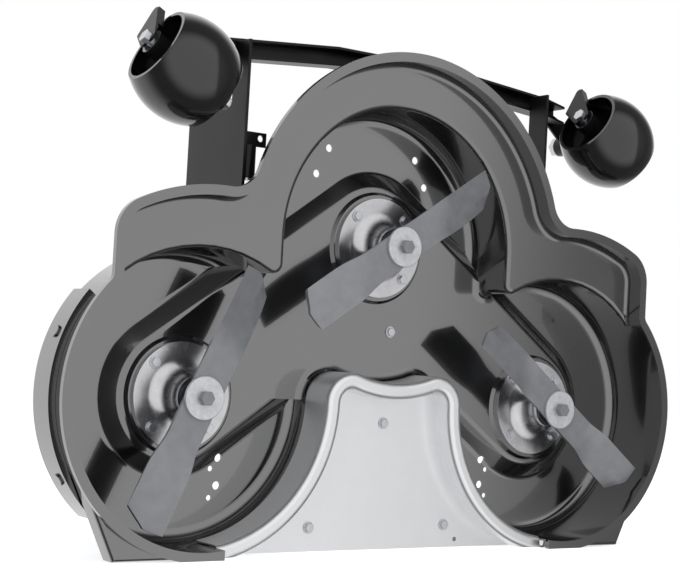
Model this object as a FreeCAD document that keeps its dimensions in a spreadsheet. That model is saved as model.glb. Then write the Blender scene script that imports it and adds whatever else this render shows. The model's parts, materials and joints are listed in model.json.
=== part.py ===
"""Three-spindle lawn mower deck, standing on its rear edge with the cutting side towards -Y.

X runs across the deck, Y from the cutting side to the top side, and Z from the rear edge to the front.
The origin is on the rear edge's face, in the middle, level with the visible face of the spindle flanges.
"""
import FreeCAD, Part
import math
import os
import Sketcher

Vector = FreeCAD.Vector
UP = Vector(0, 1, 0)

DRIVING_SIZES = (
    ("spindle_pitch", 351.3, "side spindle to the middle plane"),
    ("spindle_rise", 252.1, "centre spindle ahead of the side spindles"),
    ("chamber_radius", 222.0, "inside of each round chamber"),
    ("rear_clearance", 12.0, "side chamber to the rear edge"),
    ("sheet", 3.0, "deck plate"),
    ("roof_height", 33.0, "chamber roof above the flange faces"),
    ("rim_drop", 89.0, "flange faces to the lowest rim"),
    ("roof_fillet", 20.0, "roof to wall"),
    ("nose_fillet", 15.0, "front cusp between two chambers"),
    ("island_fillet", 45.0, "rear cusp between two chambers"),
    ("plateau_height", 11.0, "belt plateau's underside above the flange faces"),
    ("plateau_margin", 7.0, "flat ring of the plateau round each seat"),
    ("plateau_slope", 28.0, "run of the step down to the plateau"),
    ("plateau_fillet", 18.0, "plateau to the chamber's wall"),
    ("seat_margin", 5.8, "raised seat beyond each flange"),
    ("seat_slope", 5.0, "run of the seat's edge"),
    ("brim_drop", 62.0, "brim's underside below the flange faces"),
    ("brim_front", 71.0, "brim width round the centre chamber"),
    ("brim_side", 75.0, "brim width round a side chamber"),
    ("shoulder_side", 154.7, "side spindle to the shoulder's outer side"),
    ("shoulder_fillet", 42.0, "shoulder's outer corner"),
    ("neck_fillet", 62.0, "front lobe to shoulder"),
    ("hip_fillet", 30.0, "shoulder's side to the side chamber"),
    ("brim_fillet", 9.0, "brim to its lip"),
    ("lip_width", 12.0, "rolled lip outside the rim"),
    ("lip_height", 9.0, "rolled lip along the wall"),
    ("foot_offset", 138.7, "rear corner beyond the side spindle"),
    ("foot_drop", 83.0, "rear corner panel below the flange faces"),
    ("foot_flange", 33.0, "rear corner panel's flange"),
    ("foot_fillet", 15.0, "rear corner in plan"),
    ("opening_inset", 34.3, "rear opening's end short of the side spindle"),
    ("land_drop", 32.5, "rear land's underside below the flange faces"),
    ("apron_height", 20.0, "rear apron above the flange faces"),
    ("vent_radius", 6.3, "large roof hole"),
    ("small_vent_radius", 4.2, "small roof hole"),
    ("running_gap", 0.05, "radial clearance of a running fit"),
    ("free_gap", 1.0, "radial clearance of a bolt hole"),
    ("baffle_gauge", 2.0, "rear baffle plate"),
    ("baffle_clearance", 1.5, "baffle leg to the deck's wall"),
    ("baffle_ridge", 26.0, "ridge width"),
    ("baffle_drop", 71.0, "ridge crest below the flange faces"),
    ("baffle_leg", 6.0, "end of the outer leg below the flange faces"),
    ("baffle_fillet", 9.0, "ridge edges"),
    ("baffle_bolt_upper", 202.0, "upper baffle bolt above the rear edge"),
    ("baffle_bolt_lower", 37.0, "lower baffle bolts above the rear edge"),
    ("baffle_bolt_reach", 134.0, "lower baffle bolt to the middle plane"),
    ("baffle_drain_x", 159.6, "baffle's drain hole from the middle plane"),
    ("baffle_drain_z", 12.4, "baffle's drain hole above the rear edge"),
    ("baffle_drain_radius", 4.0, "baffle's drain hole"),
    ("flange_radius", 81.2, "spindle flange"),
    ("flange_gauge", 6.0, "spindle flange"),
    ("bolt_margin", 12.8, "spindle bolts inside the flange's edge"),
    ("cone_gap", 0.4, "flared housing to the bolts' flanges"),
    ("nose_wall", 4.5, "housing's nose round the dust cap"),
    ("nose_drop", 43.0, "nose face below the flange faces"),
    ("nose_band", 6.0, "straight band at the nose"),
    ("barrel_wall", 8.0, "housing barrel round the bearing"),
    ("barrel_top", 54.0, "housing's top above the flange faces"),
    ("bearing_radius", 26.0, "bearing's outside"),
    ("bearing_width", 15.0, "bearing"),
    ("bearing_step", 5.0, "step that each bearing seats on"),
    ("shaft_radius", 12.5, "spindle shaft"),
    ("shoulder_radius", 20.0, "shaft shoulder above the blade"),
    ("shaft_foot", 60.0, "shaft's end face below the flange faces"),
    ("cap_margin", 0.5, "dust cap beyond the bearing"),
    ("cap_width", 6.0, "dust cap"),
    ("blade_gauge", 6.0, "blade plate"),
    ("tip_gap", 13.3, "blade tip to the chamber's wall"),
    ("blade_width", 56.0, "blade at the hub"),
    ("sail_width", 66.0, "blade outside the twist"),
    ("twist_start", 66.0, "start of the twist"),
    ("twist_length", 56.0, "length of the twist"),
    ("blade_twist", 14.0, "degrees"),
    ("wing_width", 26.0, "lifted rear side of the blade"),
    ("wing_curl", 22.0, "degrees at the tip"),
    ("bevel_width", 9.0, "cutting edge"),
    ("tip_cut_length", 24.0, "cut corner along the blade"),
    ("tip_cut_width", 34.0, "cut corner across the blade"),
    ("left_blade_turn", 65.0, "degrees from +X"),
    ("centre_blade_turn", 34.0, "degrees from +X"),
    ("right_blade_turn", -37.0, "degrees from +X"),
    ("washer_radius", 32.6, "blade washer"),
    ("washer_gauge", 4.9, "blade washer"),
    ("blade_bolt_radius", 8.0, "blade bolt's shank"),
    ("blade_bolt_length", 40.0, "blade bolt under its head"),
    ("blade_bolt_head", 10.0, "blade bolt's head"),
    ("blade_bolt_across", 20.0, "blade bolt's flats"),
    ("housing_bolt_radius", 4.0, "housing bolt's shank"),
    ("housing_bolt_across", 13.0, "housing bolt's flats"),
    ("housing_bolt_head", 6.0, "housing bolt's head"),
    ("bolt_flange_radius", 9.5, "flange under a small bolt's head"),
    ("bolt_flange_gauge", 1.6, "flange under a small bolt's head"),
    ("belt_height", 74.0, "middle of the belt above the flange faces"),
    ("belt_width", 13.0, "belt's back"),
    ("belt_depth", 8.0, "belt"),
    ("belt_gap", 0.4, "belt to pulley"),
    ("pulley_radius", 68.0, "pulley's outside"),
    ("groove_depth", 12.0, "pulley's groove"),
    ("pulley_cheek", 2.6, "pulley's outer cheek"),
    ("pulley_hub", 22.0, "pulley's hub"),
    ("pulley_web", 4.0, "pulley's web"),
    ("drive_spacing", 26.0, "upper groove of the centre pulley above the lower"),
    ("nut_across", 30.0, "pulley nut's flats"),
    ("nut_height", 12.0, "pulley nut"),
    ("idler_radius", 38.0, "flat idler pulley"),
    ("idler_push", 24.0, "belt pushed forward by the idler"),
    ("idler_x", 120.0, "idler pulley from the middle plane"),
    ("idler_flange", 4.0, "idler pulley's side flange"),
    ("pivot_x", 37.7, "idler arm's pivot from the middle plane"),
    ("pivot_rise", 116.3, "idler arm's pivot ahead of the side spindles"),
    ("pivot_radius", 8.0, "idler arm's pivot"),
    ("idler_bolt_across", 22.0, "idler bolt's flats"),
    ("arm_width", 36.0, "idler arm"),
    ("arm_gauge", 6.0, "idler arm"),
    ("arm_height", 44.0, "idler arm above the flange faces"),
    ("spring_radius", 15.0, "torsion spring's coil"),
    ("spring_wire", 2.2, "torsion spring's wire radius"),
    ("beam_height", 31.0, "front beam up the face"),
    ("beam_depth", 33.0, "front beam front to back"),
    ("beam_wall", 4.0, "front beam"),
    ("beam_near", -13.0, "front beam's near edges from the flange faces"),
    ("beam_ahead", 91.9, "front beam's top ahead of the centre chamber"),
    ("beam_flat", 110.0, "half the beam's straight middle"),
    ("beam_knee", 335.0, "beam's outer bend from the middle plane"),
    ("beam_knee_fall", 20.0, "beam at its outer bend"),
    ("beam_end", 380.0, "beam's end from the middle plane"),
    ("beam_end_fall", 30.0, "beam at its end"),
    ("wheel_outset", 41.0, "wheel centre beyond the beam's end"),
    ("wheel_gap", 4.9, "wheel to its yoke's top"),
    ("wheel_drop", 92.6, "wheel centre behind the beam's top"),
    ("wheel_turn", 29.0, "degrees that both wheel yokes are swivelled"),
    ("wheel_radius", 78.2, "wheel in the middle"),
    ("wheel_end_radius", 60.0, "wheel at its ends"),
    ("wheel_half_width", 57.0, "wheel"),
    ("wheel_wall", 6.0, "wheel's barrel"),
    ("wheel_web", 8.0, "wheel's middle web"),
    ("wheel_hub_radius", 19.0, "wheel's hub"),
    ("wheel_hub_stand", 9.0, "hub beyond the wheel's end"),
    ("axle_radius", 8.0, "wheel bolt's shank"),
    ("axle_head", 8.0, "wheel bolt's head"),
    ("axle_across", 19.0, "wheel bolt's flats"),
    ("keeper_gauge", 4.0, "ear on the wheel bolt"),
    ("keeper_gap", 3.0, "ear and yoke arm to the hub"),
    ("keeper_flange", 10.0, "ear's folded edge"),
    ("yoke_width", 38.0, "yoke's strap"),
    ("yoke_gauge", 6.0, "yoke's strap"),
    ("yoke_set", 15.5, "underside of the yoke's top from the beam's near edges"),
    ("stem_radius", 9.5, "yoke's stem"),
    ("socket_radius", 17.0, "stem socket"),
    ("socket_height", 30.0, "stem socket"),
    ("lug_rise", 24.0, "socket's lug ahead of the stem"),
    ("socket_gap", 1.0, "yoke to the socket's end"),
    ("hanger_x", 300.0, "hanger plate from the middle plane"),
    ("hanger_gauge", 5.0, "hanger plate"),
    ("hanger_depth", 117.0, "hanger plate's far edge above the flange faces"),
    ("hanger_shoulder", 114.0, "hanger panel's end behind the beam's top"),
    ("hanger_lap", 24.0, "hanger arm's end behind the beam's top"),
    ("hanger_foot", 6.0, "hanger's foot ahead of the side chamber"),
    ("hanger_heel", 20.0, "hanger panel's edge over its foot, from the flange faces"),
    ("hanger_foot_length", 50.0, "hanger's foot flange along the brim"),
    ("hanger_slant", 80.0, "length of the hanger panel's slanted end"),
    ("hanger_barrel", 105.0, "hanger barrel ahead of the hanger's foot"),
    ("hanger_barrel_length", 49.0, "hanger barrel"),
    ("hanger_barrel_radius", 12.0, "hanger barrel"),
    ("hanger_foot_width", 40.0, "hanger's foot flange"),
    ("cover_stand", 11.0, "side cover's outside from the chamber's outside"),
    ("cover_gauge", 2.5, "side cover"),
    ("cover_near", -46.0, "side cover's near edge from the flange faces"),
    ("cover_far", 6.0, "side cover's far edge from the flange faces"),
    ("cover_start", 141.0, "degrees from +X"),
    ("cover_sweep", 88.0, "degrees"),
    ("pin_radius", 5.0, "baffle pin"),
    ("pin_offset", 0.7, "baffle pin beyond the side spindle"),
)

# Places of the roof holes beside the side and centre spindles: X offset, Z offset, large or small
SIDE_VENTS = ((-87.0, -95.0, True), (-75.0, -112.0, False), (-87.0, -138.0, True), (-75.0, -157.0, False))
CENTRE_VENTS = ((88.0, 157.0, True), (110.0, 113.0, True))
QUARTER_TURNS = (45, 135, 225, 315)
SIDES = (("left", -1), ("right", 1))

doc = FreeCAD.newDocument("mower_deck")
sheet = doc.addObject("Spreadsheet::Sheet", "sizes")
for row, (alias, value, note) in enumerate(DRIVING_SIZES, start=1):
    sheet.set("A%d" % row, alias)
    sheet.set("B%d" % row, str(value))
    sheet.set("C%d" % row, note)
    sheet.setAlias("B%d" % row, alias)
doc.recompute()


class Size:
    """A length read from the sheet; sums and products keep the names of their cells."""

    def __init__(self, text, value):
        self.text = text
        self.value = value

    def joined(self, sign, other, value):
        return Size("(%s %s %s)" % (self.text, sign, as_size(other).text), value)

    def __add__(self, other):
        return self.joined("+", other, self.value + as_size(other).value)

    def __sub__(self, other):
        return self.joined("-", other, self.value - as_size(other).value)

    def __mul__(self, other):
        return self.joined("*", other, self.value * as_size(other).value)

    def __truediv__(self, other):
        return self.joined("/", other, self.value / as_size(other).value)

    def __neg__(self):
        return self * -1


def as_size(number):
    """A Size for a Size or a plain number."""
    if isinstance(number, Size):
        return number
    return Size("(%r)" % float(number), float(number))


def root(size):
    """The square root of a Size."""
    return Size("sqrt%s" % as_size(size).text, math.sqrt(size.value))


def cell(alias):
    """The Size of one cell."""
    return Size("sizes." + alias, float(sheet.get(alias)))


def mm(alias):
    """The plain value of one cell."""
    return float(sheet.get(alias))


def bind(item, prop, length):
    """Tie one property to the sheet."""
    item.setExpression(prop, as_size(length).text)


def place(item, x=0.0, y=0.0, z=0.0, rotation=None):
    """Put an object at bound coordinates, turned by a rotation."""
    item.Placement = FreeCAD.Placement(Vector(), rotation or FreeCAD.Rotation())
    for axis, length in zip("xyz", (x, y, z)):
        bind(item, "Placement.Base." + axis, length)


SIDE_Z = cell("chamber_radius") + cell("rear_clearance")
CENTRE_Z = SIDE_Z + cell("spindle_rise")
BEAM_TOP = CENTRE_Z + cell("chamber_radius") + cell("beam_ahead")
WHEEL_X = cell("beam_end") + cell("wheel_outset")
WHEEL_Z = BEAM_TOP - cell("wheel_drop")
YOKE_TOP = cell("beam_near") + cell("yoke_set")
WHEEL_Y = YOKE_TOP - cell("wheel_gap") - cell("wheel_radius")
HUB_HALF = cell("wheel_half_width") + cell("wheel_hub_stand")
BOLT_CIRCLE = cell("flange_radius") - cell("bolt_margin")
SEAT_RADIUS = cell("flange_radius") + cell("seat_margin")
CAP_RADIUS = cell("bearing_radius") + cell("cap_margin")
BARREL_RADIUS = cell("bearing_radius") + cell("barrel_wall")
GROOVE_RADIUS = cell("pulley_radius") - cell("groove_depth")
PIVOT_Z = SIDE_Z + cell("pivot_rise")
REAR_OPENING = cell("spindle_pitch") - cell("opening_inset")
HANGER_FOOT = SIDE_Z + cell("chamber_radius") + cell("hanger_foot")
BLADE_REACH = cell("chamber_radius") - cell("tip_gap")
SPINDLES = (
    ("left", -cell("spindle_pitch"), SIDE_Z, cell("left_blade_turn")),
    ("centre", as_size(0.0), CENTRE_Z, cell("centre_blade_turn")),
    ("right", cell("spindle_pitch"), SIDE_Z, cell("right_blade_turn")),
)


def arc_between(start, end, radius, side):
    """The arc from start to end whose centre is on the left (side 1) or right (side -1)."""
    chord = end - start
    half = chord.Length / 2
    height = math.sqrt(max(radius * radius - half * half, 0.0))
    across = Vector(-chord.y, chord.x, 0)
    across.normalize()
    centre = (start + end) * 0.5 + across * (side * height)
    first, last = (start, end) if side > 0 else (end, start)
    angles = [math.atan2(p.y - centre.y, p.x - centre.x) for p in (first, last)]
    return Part.ArcOfCircle(Part.Circle(centre, Vector(0, 0, 1), radius), angles[0], angles[1])


def new_sketch(body, role, name):
    """A sketch on one of the body's own origin planes."""
    plane = [item for item in body.Origin.OriginFeatures if item.Role == role][0]
    sketch = body.newObject("Sketcher::SketchObject", name)
    sketch.AttachmentSupport = [(plane, "")]
    sketch.MapMode = "FlatFace"
    return sketch


def hold_half_circle(sketch, arc, start, end):
    """Keep a half circle's centre midway between its ends."""
    spans = [abs((as_size(end[side]) - start[side]).value) for side in (0, 1)]
    upright = spans[1] > spans[0]
    kind, side = ("DistanceX", 0) if upright else ("DistanceY", 1)
    middle = (as_size(start[side]) + end[side]) * 0.5
    made = sketch.addConstraint(Sketcher.Constraint(kind, -1, 1, arc, 3, middle.value))
    bind(sketch, "Constraints[%d]" % made, middle)


def add_outline(sketch, corners):
    """Close an outline through corners (across, along) or (across, along, arc radius, arc side)."""
    points = [Vector(as_size(c[0]).value, as_size(c[1]).value, 0) for c in corners]
    edges = []
    for index, corner in enumerate(corners):
        start, end = points[index], points[(index + 1) % len(corners)]
        if len(corner) == 2:
            edges.append((sketch.addGeometry(Part.LineSegment(start, end)), 1, 2))
            continue
        arc = sketch.addGeometry(arc_between(start, end, as_size(corner[2]).value, corner[3]))
        edges.append((arc, 1, 2) if corner[3] > 0 else (arc, 2, 1))
        if (end - start).Length > 1.999 * as_size(corner[2]).value:
            hold_half_circle(sketch, arc, corner, corners[(index + 1) % len(corners)])
            continue
        made = sketch.addConstraint(Sketcher.Constraint("Radius", arc, as_size(corner[2]).value))
        bind(sketch, "Constraints[%d]" % made, corner[2])
    for index, corner in enumerate(corners):
        geometry, begin, _ = edges[index]
        before, _, finish = edges[index - 1]
        sketch.addConstraint(Sketcher.Constraint("Coincident", before, finish, geometry, begin))
        for kind, length in zip(("DistanceX", "DistanceY"), corner[:2]):
            value = as_size(length).value
            made = sketch.addConstraint(Sketcher.Constraint(kind, -1, 1, geometry, begin, value))
            if isinstance(length, Size):
                bind(sketch, "Constraints[%d]" % made, length)


def add_circle(sketch, across, along, radius):
    """A bound circle in a sketch."""
    centre = Vector(as_size(across).value, as_size(along).value, 0)
    circle = sketch.addGeometry(Part.Circle(centre, Vector(0, 0, 1), as_size(radius).value))
    made = sketch.addConstraint(Sketcher.Constraint("Radius", circle, as_size(radius).value))
    bind(sketch, "Constraints[%d]" % made, radius)
    for kind, length in (("DistanceX", across), ("DistanceY", along)):
        value = as_size(length).value
        made = sketch.addConstraint(Sketcher.Constraint(kind, -1, 1, circle, 3, value))
        bind(sketch, "Constraints[%d]" % made, length)


def turned(label, corners, x=0.0, y=0.0, z=0.0, rotation=None, sweep=360):
    """A body turned about its own Y axis from an outline of (radius, along) corners."""
    body = doc.addObject("PartDesign::Body", label)
    sketch = new_sketch(body, "XY_Plane", label + "_profile")
    add_outline(sketch, corners)
    turn = body.newObject("PartDesign::Revolution", label + "_turn")
    turn.Profile = sketch
    turn.ReferenceAxis = (sketch, ["V_Axis"])
    turn.Angle = as_size(sweep).value
    place(body, x, y, z, rotation)
    return body


def plate(label, role, corners, gauge, holes=(), reverse=False, x=0.0, y=0.0, z=0.0, rotation=None):
    """A flat body padded from an outline, with round holes (across, along, radius)."""
    body = doc.addObject("PartDesign::Body", label)
    sketch = new_sketch(body, role, label + "_outline")
    add_outline(sketch, corners)
    for across, along, radius in holes:
        add_circle(sketch, across, along, radius)
    pad = body.newObject("PartDesign::Pad", label + "_pad")
    pad.Profile = sketch
    bind(pad, "Length", gauge)
    pad.Reversed = reverse
    place(body, x, y, z, rotation)
    return body


def finished(label, shape):
    """A document object that holds a shape made by Part's own functions."""
    item = doc.addObject("Part::Feature", label)
    item.Shape = shape
    return item


TOWARDS_VIEWER = FreeCAD.Rotation(Vector(1, 0, 0), 90)
TOWARDS_TOP = FreeCAD.Rotation(Vector(1, 0, 0), -90)


def rod(name, radius, length, x, y, z, rotation=TOWARDS_TOP):
    """A bound cylinder from (x, y, z), along +Y unless turned otherwise."""
    item = doc.addObject("Part::Cylinder", name)
    bind(item, "Radius", radius)
    bind(item, "Height", length)
    place(item, x, y, z, rotation)
    return item


def hexagon(name, across, height, x, y, z, rotation=TOWARDS_VIEWER):
    """A bound hexagonal prism from (x, y, z), along -Y unless turned otherwise."""
    item = doc.addObject("Part::Prism", name)
    item.Polygon = 6
    bind(item, "Circumradius", across * (1 / math.sqrt(3)))
    bind(item, "Height", height)
    place(item, x, y, z, rotation)
    return item


def joined(name, pieces):
    """One solid from several primitives."""
    fuse = doc.addObject("Part::MultiFuse", name)
    fuse.Shapes = pieces
    return fuse


def small_bolt(name, x, y, z, length):
    """Flanged hexagon bolt whose head faces -Y and whose flange rests at y."""
    head = cell("housing_bolt_head")
    flange = cell("bolt_flange_gauge")
    pieces = [
        hexagon(name + "_hexagon", cell("housing_bolt_across"), head, x, y, z),
        rod(name + "_flange", cell("bolt_flange_radius"), flange, x, as_size(y) - flange, z),
        rod(name + "_shank", cell("housing_bolt_radius"), length, x, y, z),
    ]
    return joined(name, pieces)


def grouped(label, items):
    """Several separate solids in one sub-part."""
    group = doc.addObject("Part::Compound", label)
    group.Links = items
    return group


# Plan shapes of the deck, as upright volumes between two heights

def disc(x, z, radius, low, high):
    return Part.makeCylinder(radius, high - low, Vector(x, low, z), UP)


def block(x_low, x_high, z_low, z_high, low, high):
    return Part.makeBox(x_high - x_low, high - low, z_high - z_low, Vector(x_low, low, z_low))


def prism(points, low, high):
    """Upright volume over a polygon of (x, z) points."""
    corners = [Vector(x, low, z) for x, z in points]
    face = Part.Face(Part.makePolygon(corners + corners[:1]))
    return face.extrude(Vector(0, high - low, 0))


def upright_near(solid, x, z):
    """The straight edge along Y that lies nearest to (x, z)."""
    def reach(edge):
        middle = edge.CenterOfMass
        return math.hypot(middle.x - x, middle.z - z)
    uprights = []
    for edge in solid.Edges:
        if not isinstance(edge.Curve, Part.Line):
            continue
        if abs(edge.Curve.Direction.y) > 0.99:
            uprights.append(edge)
    return min(uprights, key=reach)


def round_uprights(solid, places):
    """Round the upright edges near each (x, z, radius), on both sides of the middle plane."""
    for x, z, radius in places:
        pair = [upright_near(solid, side * x, z) for side in (-1, 1)]
        solid = solid.makeFillet(radius, pair)
    return solid


def edges_at(solid, height, keep=None):
    """Edges that lie wholly at one height and pass a test on their middle point."""
    found = []
    for edge in solid.Edges:
        box = edge.BoundBox
        if abs(box.YMin - height) > 1e-4 or abs(box.YMax - height) > 1e-4:
            continue
        middle = edge.valueAt((edge.FirstParameter + edge.LastParameter) / 2)
        if keep is None or keep(middle):
            found.append(edge)
    return found


def circle_meeting(first, first_radius, second, second_radius, side):
    """One of the two points where two circles in plan meet."""
    dx, dz = second[0] - first[0], second[1] - first[1]
    gap = math.hypot(dx, dz)
    along = (gap * gap + first_radius ** 2 - second_radius ** 2) / (2 * gap)
    across = side * math.sqrt(first_radius ** 2 - along ** 2)
    ux, uz = dx / gap, dz / gap
    return first[0] + along * ux - across * uz, first[1] + along * uz + across * ux


PITCH = mm("spindle_pitch")
REAR_Z = SIDE_Z.value
FRONT_Z = CENTRE_Z.value
WAIST_Z = FRONT_Z - 0.6 * mm("spindle_rise")
SHEET = mm("sheet")
ROOF = mm("roof_height")
RIM = -mm("rim_drop")
BRIM = -mm("brim_drop")
PLATEAU = mm("plateau_height")


def arc_point(middle, radius, degrees):
    """A point of a circle in plan, at height zero."""
    angle = math.radians(degrees)
    return Vector(middle[0] + radius * math.cos(angle), 0, middle[1] + radius * math.sin(angle))


def arc_edge(middle, radius, start, sweep):
    """An arc in plan from one direction, through a number of degrees."""
    return Part.Arc(*[arc_point(middle, radius, start + sweep * share) for share in (0, 0.5, 1)]).toShape()


def aim(middle, point):
    """Direction from one plan point to another, in degrees."""
    return math.degrees(math.atan2(point[1] - middle[1], point[0] - middle[0]))


def nose_middle():
    """Centre of the front cusp's rounding, on the right."""
    reach = mm("chamber_radius") + mm("nose_fillet")
    return reach, REAR_Z + math.sqrt(reach ** 2 - (PITCH - reach) ** 2)


def front_wall(grow):
    """The chambers' front wall on the right, from the middle to the side spindle's outer side."""
    radius = mm("chamber_radius") + grow
    middle = nose_middle()
    centre, side = (0.0, FRONT_Z), (PITCH, REAR_Z)
    nose = mm("nose_fillet") - grow
    into = aim(middle, side)
    edges = [arc_edge(centre, radius, 90, -90)]
    edges.append(Part.LineSegment(arc_point(centre, radius, 0), arc_point(middle, nose, 180)).toShape())
    edges.append(arc_edge(middle, nose, 180, (into - 180) % 360))
    edges.append(arc_edge(side, radius, aim(side, middle), -aim(side, middle)))
    return edges


def rear_wall(grow):
    """The chambers' rear wall on the right, from the side spindle's outer side to the middle."""
    radius = mm("chamber_radius") + grow
    island = mm("island_fillet") - grow
    centre, side = (0.0, FRONT_Z), (PITCH, REAR_Z)
    reach = radius + island
    middle = circle_meeting(centre, reach, side, reach, -1)
    edges = [arc_edge(side, radius, 0, -(-aim(side, middle) % 360))]
    start = aim(middle, side)
    edges.append(arc_edge(middle, island, start, (aim(middle, centre) - start) % 360))
    start = aim(centre, middle)
    edges.append(arc_edge(centre, radius, start, (-90 - start) % -360))
    return edges


def chamber_volume(grow, low, high, front=True):
    """The three joined round chambers, grown outwards by a given amount."""
    if not front:
        radius = mm("chamber_radius") + grow
        sides = [disc(x, REAR_Z, radius, low, high) for x in (-PITCH, PITCH)]
        island = mm("island_fillet") - grow
        middle = circle_meeting((0, FRONT_Z), radius + island, (PITCH, REAR_Z), radius + island, -1)
        links = [prism(((0, FRONT_Z), (x, REAR_Z), (math.copysign(middle[0], x), middle[1])), low, high)
                 for x in (-PITCH, PITCH)]
        rounds = [disc(x, middle[1], island, low, high) for x in (-middle[0], middle[0])]
        links = [link.cut(rounds) for link in links]
        return disc(0, FRONT_Z, radius, low, high).fuse(sides + links)
    right = front_wall(grow) + rear_wall(grow)
    left = [edge.mirror(Vector(), Vector(1, 0, 0)) for edge in right]
    outline = Part.Wire(Part.__sortEdges__(right + left))
    face = Part.Face(outline)
    volume = face.extrude(Vector(0, high - low, 0))
    volume.translate(Vector(0, low, 0))
    return volume


def rim_volume(grow, low, high):
    """The front brim with both shoulders, and the side chambers that it runs into."""
    front = mm("chamber_radius") + mm("brim_front") + grow
    side = mm("chamber_radius") + mm("brim_side") + grow
    half = PITCH + mm("shoulder_side") + grow
    chamber = mm("chamber_radius") + grow
    window = block(-half, half, WAIST_Z, FRONT_Z + 2 * front, low, high)
    shoulders = [disc(x, REAR_Z, side, low, high) for x in (-PITCH, PITCH)]
    volume = disc(0, FRONT_Z, front, low, high).fuse(shoulders).common(window)
    chambers = [disc(x, REAR_Z, chamber, low, high) for x in (-PITCH, PITCH)]
    volume = volume.fuse(chambers).removeSplitter()
    neck = circle_meeting((0, FRONT_Z), front, (PITCH, REAR_Z), side, 1)
    reach = half - PITCH
    return round_uprights(volume, (
        (neck[0], neck[1], mm("neck_fillet") - grow),
        (half, REAR_Z + math.sqrt(side ** 2 - reach ** 2), mm("shoulder_fillet") + grow),
        (half, REAR_Z + math.sqrt(chamber ** 2 - reach ** 2), mm("hip_fillet") - grow),
    ))


def stadium(x_end, radius_low, radius_high, low, high):
    """Sloping-sided plateau from the centre spindle to a side spindle."""
    wires = []
    for radius, height in ((radius_low, low), (radius_high, high)):
        start, end = Vector(0, height, FRONT_Z), Vector(x_end, height, REAR_Z)
        along = end - start
        along.normalize()
        across = along.cross(UP) * radius
        wires.append(Part.Wire([
            Part.LineSegment(start + across, end + across).toShape(),
            Part.Arc(end + across, end + along * radius, end - across).toShape(),
            Part.LineSegment(end - across, start - across).toShape(),
            Part.Arc(start - across, start - along * radius, start + across).toShape(),
        ]))
    return Part.makeLoft(wires, True, True)


def plateau_volume(inset, face, low, high):
    """Sloping-sided volume over the belt plateau; the inset counts at the plateau's face."""
    slope = mm("plateau_slope") / (ROOF - PLATEAU)
    radius = SEAT_RADIUS.value + mm("seat_slope") + mm("plateau_margin") - inset + slope * (low - face)
    wide = radius + slope * (high - low)
    middle = prism(((0, FRONT_Z), (-PITCH, REAR_Z), (PITCH, REAR_Z)), low, high)
    return middle.fuse([stadium(x, radius, wide, low, high) for x in (-PITCH, PITCH)])


def belt_recess(grow, face, high):
    """What the plateau takes from the chambers, with a rounded step down to their walls."""
    fillet = mm("plateau_fillet") + grow
    inset = 0.4 * grow
    under = chamber_volume(grow, face - 4 * fillet, face)
    under = under.makeFillet(fillet, edges_at(under, face))
    return plateau_volume(inset, face, face - fillet, high).cut(under)


def seat_volume(x, z, inset, low, high):
    """Conical seat under one spindle flange."""
    radius = SEAT_RADIUS.value - inset
    return Part.makeCone(radius, radius + mm("seat_slope"), high - low, Vector(x, low, z), UP)


def foot_plan(grow):
    """Plan of the right rear corner, from the side spindle out to the corner."""
    radius = mm("chamber_radius") + SHEET
    corner = (PITCH + mm("foot_offset"), 0.0)
    dx, dz = corner[0] - PITCH, corner[1] - REAR_Z
    gap = math.hypot(dx, dz)
    turn = math.atan2(dz, dx) + math.acos(radius / gap)
    normal = (math.cos(turn), math.sin(turn))
    touch = (PITCH + (radius + grow) * normal[0], REAR_Z + (radius + grow) * normal[1])
    floor_z = -grow
    run = (floor_z - touch[1]) / normal[0]
    corner_x = touch[0] - run * normal[1]
    return (PITCH, REAR_Z), touch, (corner_x, floor_z), (REAR_OPENING.value, floor_z)


def foot():
    """Right rear corner panel with its turned-up flange."""
    low, high = -mm("foot_drop"), -mm("foot_drop") + mm("foot_flange")
    solids = []
    for grow, base, top in ((0.0, low, high), (-SHEET, low + SHEET, high + SHEET)):
        plan = foot_plan(grow)
        solid = prism(plan, base, top)
        corner = upright_near(solid, plan[2][0], plan[2][1])
        solid = solid.makeFillet(mm("foot_fillet") + grow, [corner])
        outer = edges_at(solid, base, lambda p: p.z < 1.0 + SHEET or p.x > plan[1][0] - 60)
        outer = [edge for edge in outer if edge.CenterOfMass.x > REAR_OPENING.value + 1]
        solids.append(solid.makeFillet(8.0 + grow, outer))
    return solids[0].cut(solids[1])


def baffle_opening(grow, low, high):
    """The rear region between the chambers, closed off by the rear edge."""
    reach = REAR_OPENING.value
    region = block(-reach, reach, 0.0, WAIST_Z, low, high)
    return region.cut(chamber_volume(grow, low - 1, high + 1, front=False))


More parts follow.
